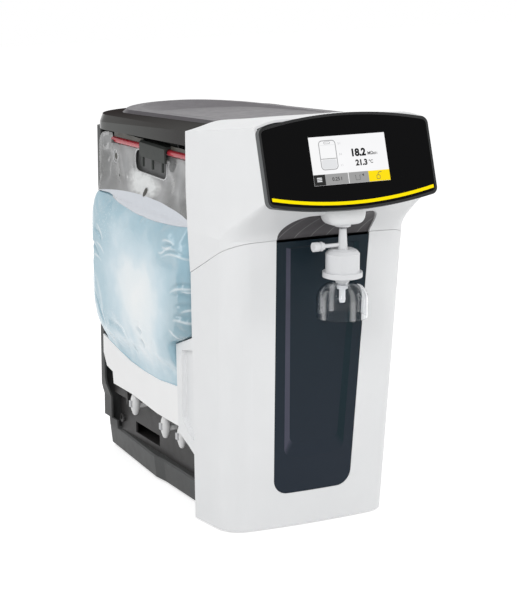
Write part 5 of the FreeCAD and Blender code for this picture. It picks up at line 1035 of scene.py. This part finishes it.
def add_film_loop(plane):
    """The film's folded loop over the rod, seen as a strip above it on both sides of the hook."""
    # Darker than the film: painted shade from the lid over it.
    made = moulded("film_loop", rgb(88, 86, 79), 0.3, uneven=0.12, gloss=0.15)
    rod_low, rod_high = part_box("hanger_rod")
    hook_low, hook_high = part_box("hook_latch")
    slope = (rod_high.z - rod_low.z - (rod_high.x - rod_low.x)) / (rod_high.y - rod_low.y)
    parts = (
        ("film_loop_rear", hook_high.y + 2 * MM, rod_high.y - 2 * MM),
        ("film_loop_front", rod_low.y + 3 * MM, hook_low.y - 2 * MM),
    )
    for name, near, far in parts:
        form = bmesh.new()
        rings = []
        for step in range(LOOP_STEPS + 1):
            y = near + (far - near) * step / LOOP_STEPS
            foot = rod_high.z - 0.6 * MM - slope * (y - rod_low.y)
            crest = foot + LOOP_HIGH + LOOP_GAIN * smooth_step(0.05, 0.2, y)
            crest += 0.15 * MM * math.sin(step * 0.9)
            top = plane + 0.3 * MM * math.sin(step * 0.8)
            sides = ((plane, -LOOP_HALF, foot), (top, -LOOP_HALF, crest), (top, LOOP_HALF, crest))
            corners = [(x + off, z) for x, off, z in (*sides, (plane, LOOP_HALF, foot))]
            rings.append([form.verts.new((x, y, z)) for x, z in corners])
        for ring, after in zip(rings, rings[1:]):
            for i in range(4):
                j = (i + 1) % 4
                form.faces.new((ring[i], ring[j], after[j], after[i]))
        form.faces.new(rings[0])
        form.faces.new(rings[-1])
        bmesh.ops.recalc_face_normals(form, faces=form.faces)
        add_object(name, from_form(name, form), "machine", made, smooth=False)


def welded(name, outline, thick, proud, lie, made):
    """A round tube along an outline in y and z, that stands proud of the film."""
    y, z = np.array(outline).T
    points = list(zip(lie(y, z) - proud, y, z))
    mesh = curve_mesh(name, lambda curve: add_ring(curve, points), bevel=thick)
    add_object(name, mesh, "machine", made)


def shade_behind_hole(name, hole, lie, made):
    """A dark disc behind a hole in the film: painted shade."""
    y, z, radius = hole
    passing = prism(name, circle(y, z, radius + 0.4 * MM), 0, 0.5 * MM)
    mesh = passing.data
    bpy.data.objects.remove(passing)
    spots = places(mesh)
    spots[:, 0] += lie(spots[:, 1].copy(), spots[:, 2].copy()) - 0.4 * MM
    set_places(mesh, spots)
    add_object(name, mesh, "machine", made, smooth=False)


def add_film_trim(lie, window):
    """The welds round the window and the holes, and dark discs of painted shade behind the holes."""
    weld = moulded("film_weld", rgb(196, 197, 198), 0.22, uneven=0.03, coat=0.5)
    # Painted shade: a dark disc behind each hole.
    inside = moulded("hole_shade", rgb(70, 69, 64), 0.4, uneven=0.05, gloss=0.2)
    left, low, right, high = window
    grow = 1.2 * MM
    edge = rounded(left - grow, low - grow, right + grow, high + grow, WINDOW_ROUND)
    welded("window_weld", edge, 0.9 * MM, 0.2 * MM, lie, weld)
    for name, hole in (("eyelet", EYELET), ("port", PORT)):
        welded(name + "_ring", circle(*hole, 32), 0.5 * MM, 0.4 * MM, lie, weld)
        shade_behind_hole(name + "_back", hole, lie, inside)
    y, z, radius = EYELET
    welded("eyelet_outer", circle(y, z, radius + 3.4 * MM, 32), 0.5 * MM, 0.4 * MM, lie, weld)


# ---------------------------------------------------------------- the picture on the screen

# On the screen, in mm: the row of keys along its foot, and how far plates stand off it per layer.
BAR_HEIGHT = 13.5
BAR_SPLITS = (-54.0, -37.9, -5.1, 23.6, 54.0)
LAYER = 0.08
PLATE_HALF = 0.03
CAPITAL_SHARE = 0.7


def screen_frame():
    """Places on the lit screen: x across, y up the picture from its foot, z outwards, in mm."""
    spots = places(NODES["display_screen"].data)
    out = Vector(screen_face().normal)
    across = Vector((1, 0, 0))
    up = out.cross(across).normalized()
    height = spots @ np.array(up)
    depth = spots @ np.array(out)
    start = up * height.min() + out * depth.max()
    turn = Matrix((across, up, out)).transposed().to_4x4()
    return Matrix.Translation(start) @ turn @ Matrix.Scale(MM, 4)


def on_screen(name, mesh, made, lift=1):
    """A thin plate of the picture, moved from millimetres on the screen to its place."""
    mesh.transform(Matrix.Translation((0, 0, LAYER * lift)))
    mesh.transform(screen_frame())
    add_object(name, mesh, "machine", made, smooth=False)


def plate(name, outline, made, lift=1):
    """A filled shape."""
    mesh = curve_mesh(name, lambda curve: add_ring(curve, outline), extrude=PLATE_HALF, fill=True)
    on_screen(name, mesh, made, lift)


def bar(left, low, right, high):
    """The corners of a rectangle."""
    return [(left, low), (right, low), (right, high), (left, high)]


def line_plate(name, points, width, made, closed=True):
    """A drawn line: a thin flat ribbon along the points."""
    form = bmesh.new()
    count = len(points)
    pairs = []
    for i, point in enumerate(points):
        before = Vector(points[(i - 1) % count] if closed or i else point)
        after = Vector(points[(i + 1) % count] if closed or i < count - 1 else point)
        way = (after - before).normalized()
        side = Vector((-way.y, way.x)) * width / 2
        here = Vector(point)
        pairs.append([form.verts.new((*(here + side * k), 0)) for k in (1, -1)])
    last = count if closed else count - 1
    for i in range(last):
        j = (i + 1) % count
        form.faces.new((pairs[i][1], pairs[j][1], pairs[j][0], pairs[i][0]))
    top = bmesh.ops.extrude_face_region(form, geom=form.faces[:])
    for item in top["geom"]:
        if isinstance(item, bmesh.types.BMVert):
            item.co.z += 0.05
    bmesh.ops.recalc_face_normals(form, faces=form.faces)
    on_screen(name, from_form(name, form), made, 2)


def words(name, text, at, height, made, bold=0.0):
    """Digits or a unit, with capitals of that height, in mm."""
    font = bpy.data.curves.new(name, "FONT")
    font.body = text
    font.size = height / CAPITAL_SHARE
    font.align_x = font.align_y = "CENTER"
    font.offset = bold
    font.extrude = PLATE_HALF
    passing = bpy.data.objects.new(name, font)
    link(passing)
    mesh = baked(passing)
    mesh.transform(Matrix.Translation((*at, 0)))
    on_screen(name, mesh, made, 2)


def add_picture():
    """What the screen shows: a bag level, the water's quality and temperature, and four keys."""
    black = lit("ink_black", rgb(20, 20, 20))
    ink = lit("ink_dark", rgb(58, 58, 58))
    soft = lit("ink_grey", rgb(120, 120, 120))
    faint = lit("ink_faint", rgb(164, 164, 166))
    pale = lit("ink_pale", rgb(226, 227, 229))
    white = lit("key_line", rgb(240, 240, 240))
    key_tints = (rgb(40, 40, 40), rgb(158, 158, 158), rgb(158, 158, 158), rgb(255, 224, 0))
    for number, tint in enumerate(key_tints):
        outline = bar(BAR_SPLITS[number], 0, BAR_SPLITS[number + 1], BAR_HEIGHT)
        plate(f"key_{number + 1}", outline, lit(f"key_tint_{number + 1}", tint))
    split = BAR_SPLITS[2]
    plate("key_gap", bar(split - 0.5, 0, split + 0.5, BAR_HEIGHT), white, 2)
    words("reading_quality", "18.2", (13.0, 37.4), 8.8, black, 0.62)
    words("unit_quality", "M\u03a9cm", (33.6, 35.6), 3.8, ink, 0.14)
    words("reading_warmth", "21.3", (16.2, 24.6), 6.9, black, 0.45)
    words("unit_warmth", "\u00b0C", (29.6, 25.0), 4.0, ink, 0.12)
    words("key_volume", "0.25 l", (-21.5, 6.6), 4.4, ink, 0.12)
    for label, height in (("5 l", 50.5), ("3 l", 36.9), ("1 l", 23.2)):
        words("mark_" + label[0], label, (-12.2, height), 2.6, faint)
    add_bag_picture(soft, faint, pale)
    add_key_pictures(black, pale)


def add_bag_picture(soft, faint, pale):
    """The small drawing of the bag with its water level."""
    body = rounded(-40.8, 19.0, -17.6, 55.2, 4.5)
    line_plate("bag_drawing", body, 1.1, faint)
    fill = rounded(-39.6, 20.0, -18.8, 31.6, 3.0)
    plate("bag_drawing_water", fill, pale)
    line_plate("bag_drawing_level", [(-40.2, 32.6), (-18.2, 32.6)], 0.7, soft, closed=False)
    handle = rounded(-33.4, 51.2, -25.0, 53.6, 1.1)
    line_plate("bag_drawing_handle", handle, 0.6, faint)
    line_plate("bag_drawing_seam", [(-39.8, 49.6), (-18.6, 49.6)], 0.5, pale, closed=False)


def add_key_pictures(black, pale):
    """The pictures on the keys: a list, a filling beaker and a tap over a beaker."""
    for row in range(3):
        low = 4.6 + 2.0 * row
        plate(f"list_row_{row + 1}", bar(-49.6, low, -42.8, low + 1.3), pale, 2)
    ink = lit("ink_icon", rgb(74, 74, 74))
    beaker = [(4.0, 9.6), (5.0, 9.6), (5.0, 3.4), (11.0, 3.4), (11.0, 9.6), (12.0, 9.6)]
    line_plate("beaker_drawing", beaker, 0.6, ink, closed=False)
    plate("beaker_arrow", [(14.0, 9.2), (16.8, 7.4), (16.8, 11.0)], ink, 2)
    line_plate("tap_beaker", rounded(35.0, 2.8, 39.6, 7.4, 0.8), 0.6, ink)
    arm = [(37.2, 7.6), (37.2, 9.4), (38.0, 10.6), (39.4, 11.2), (42.6, 11.4)]
    line_plate("tap_arm", arm, 0.7, ink, closed=False)


set_studio()
dress_nodes()
add_film(add_bag())
add_picture()
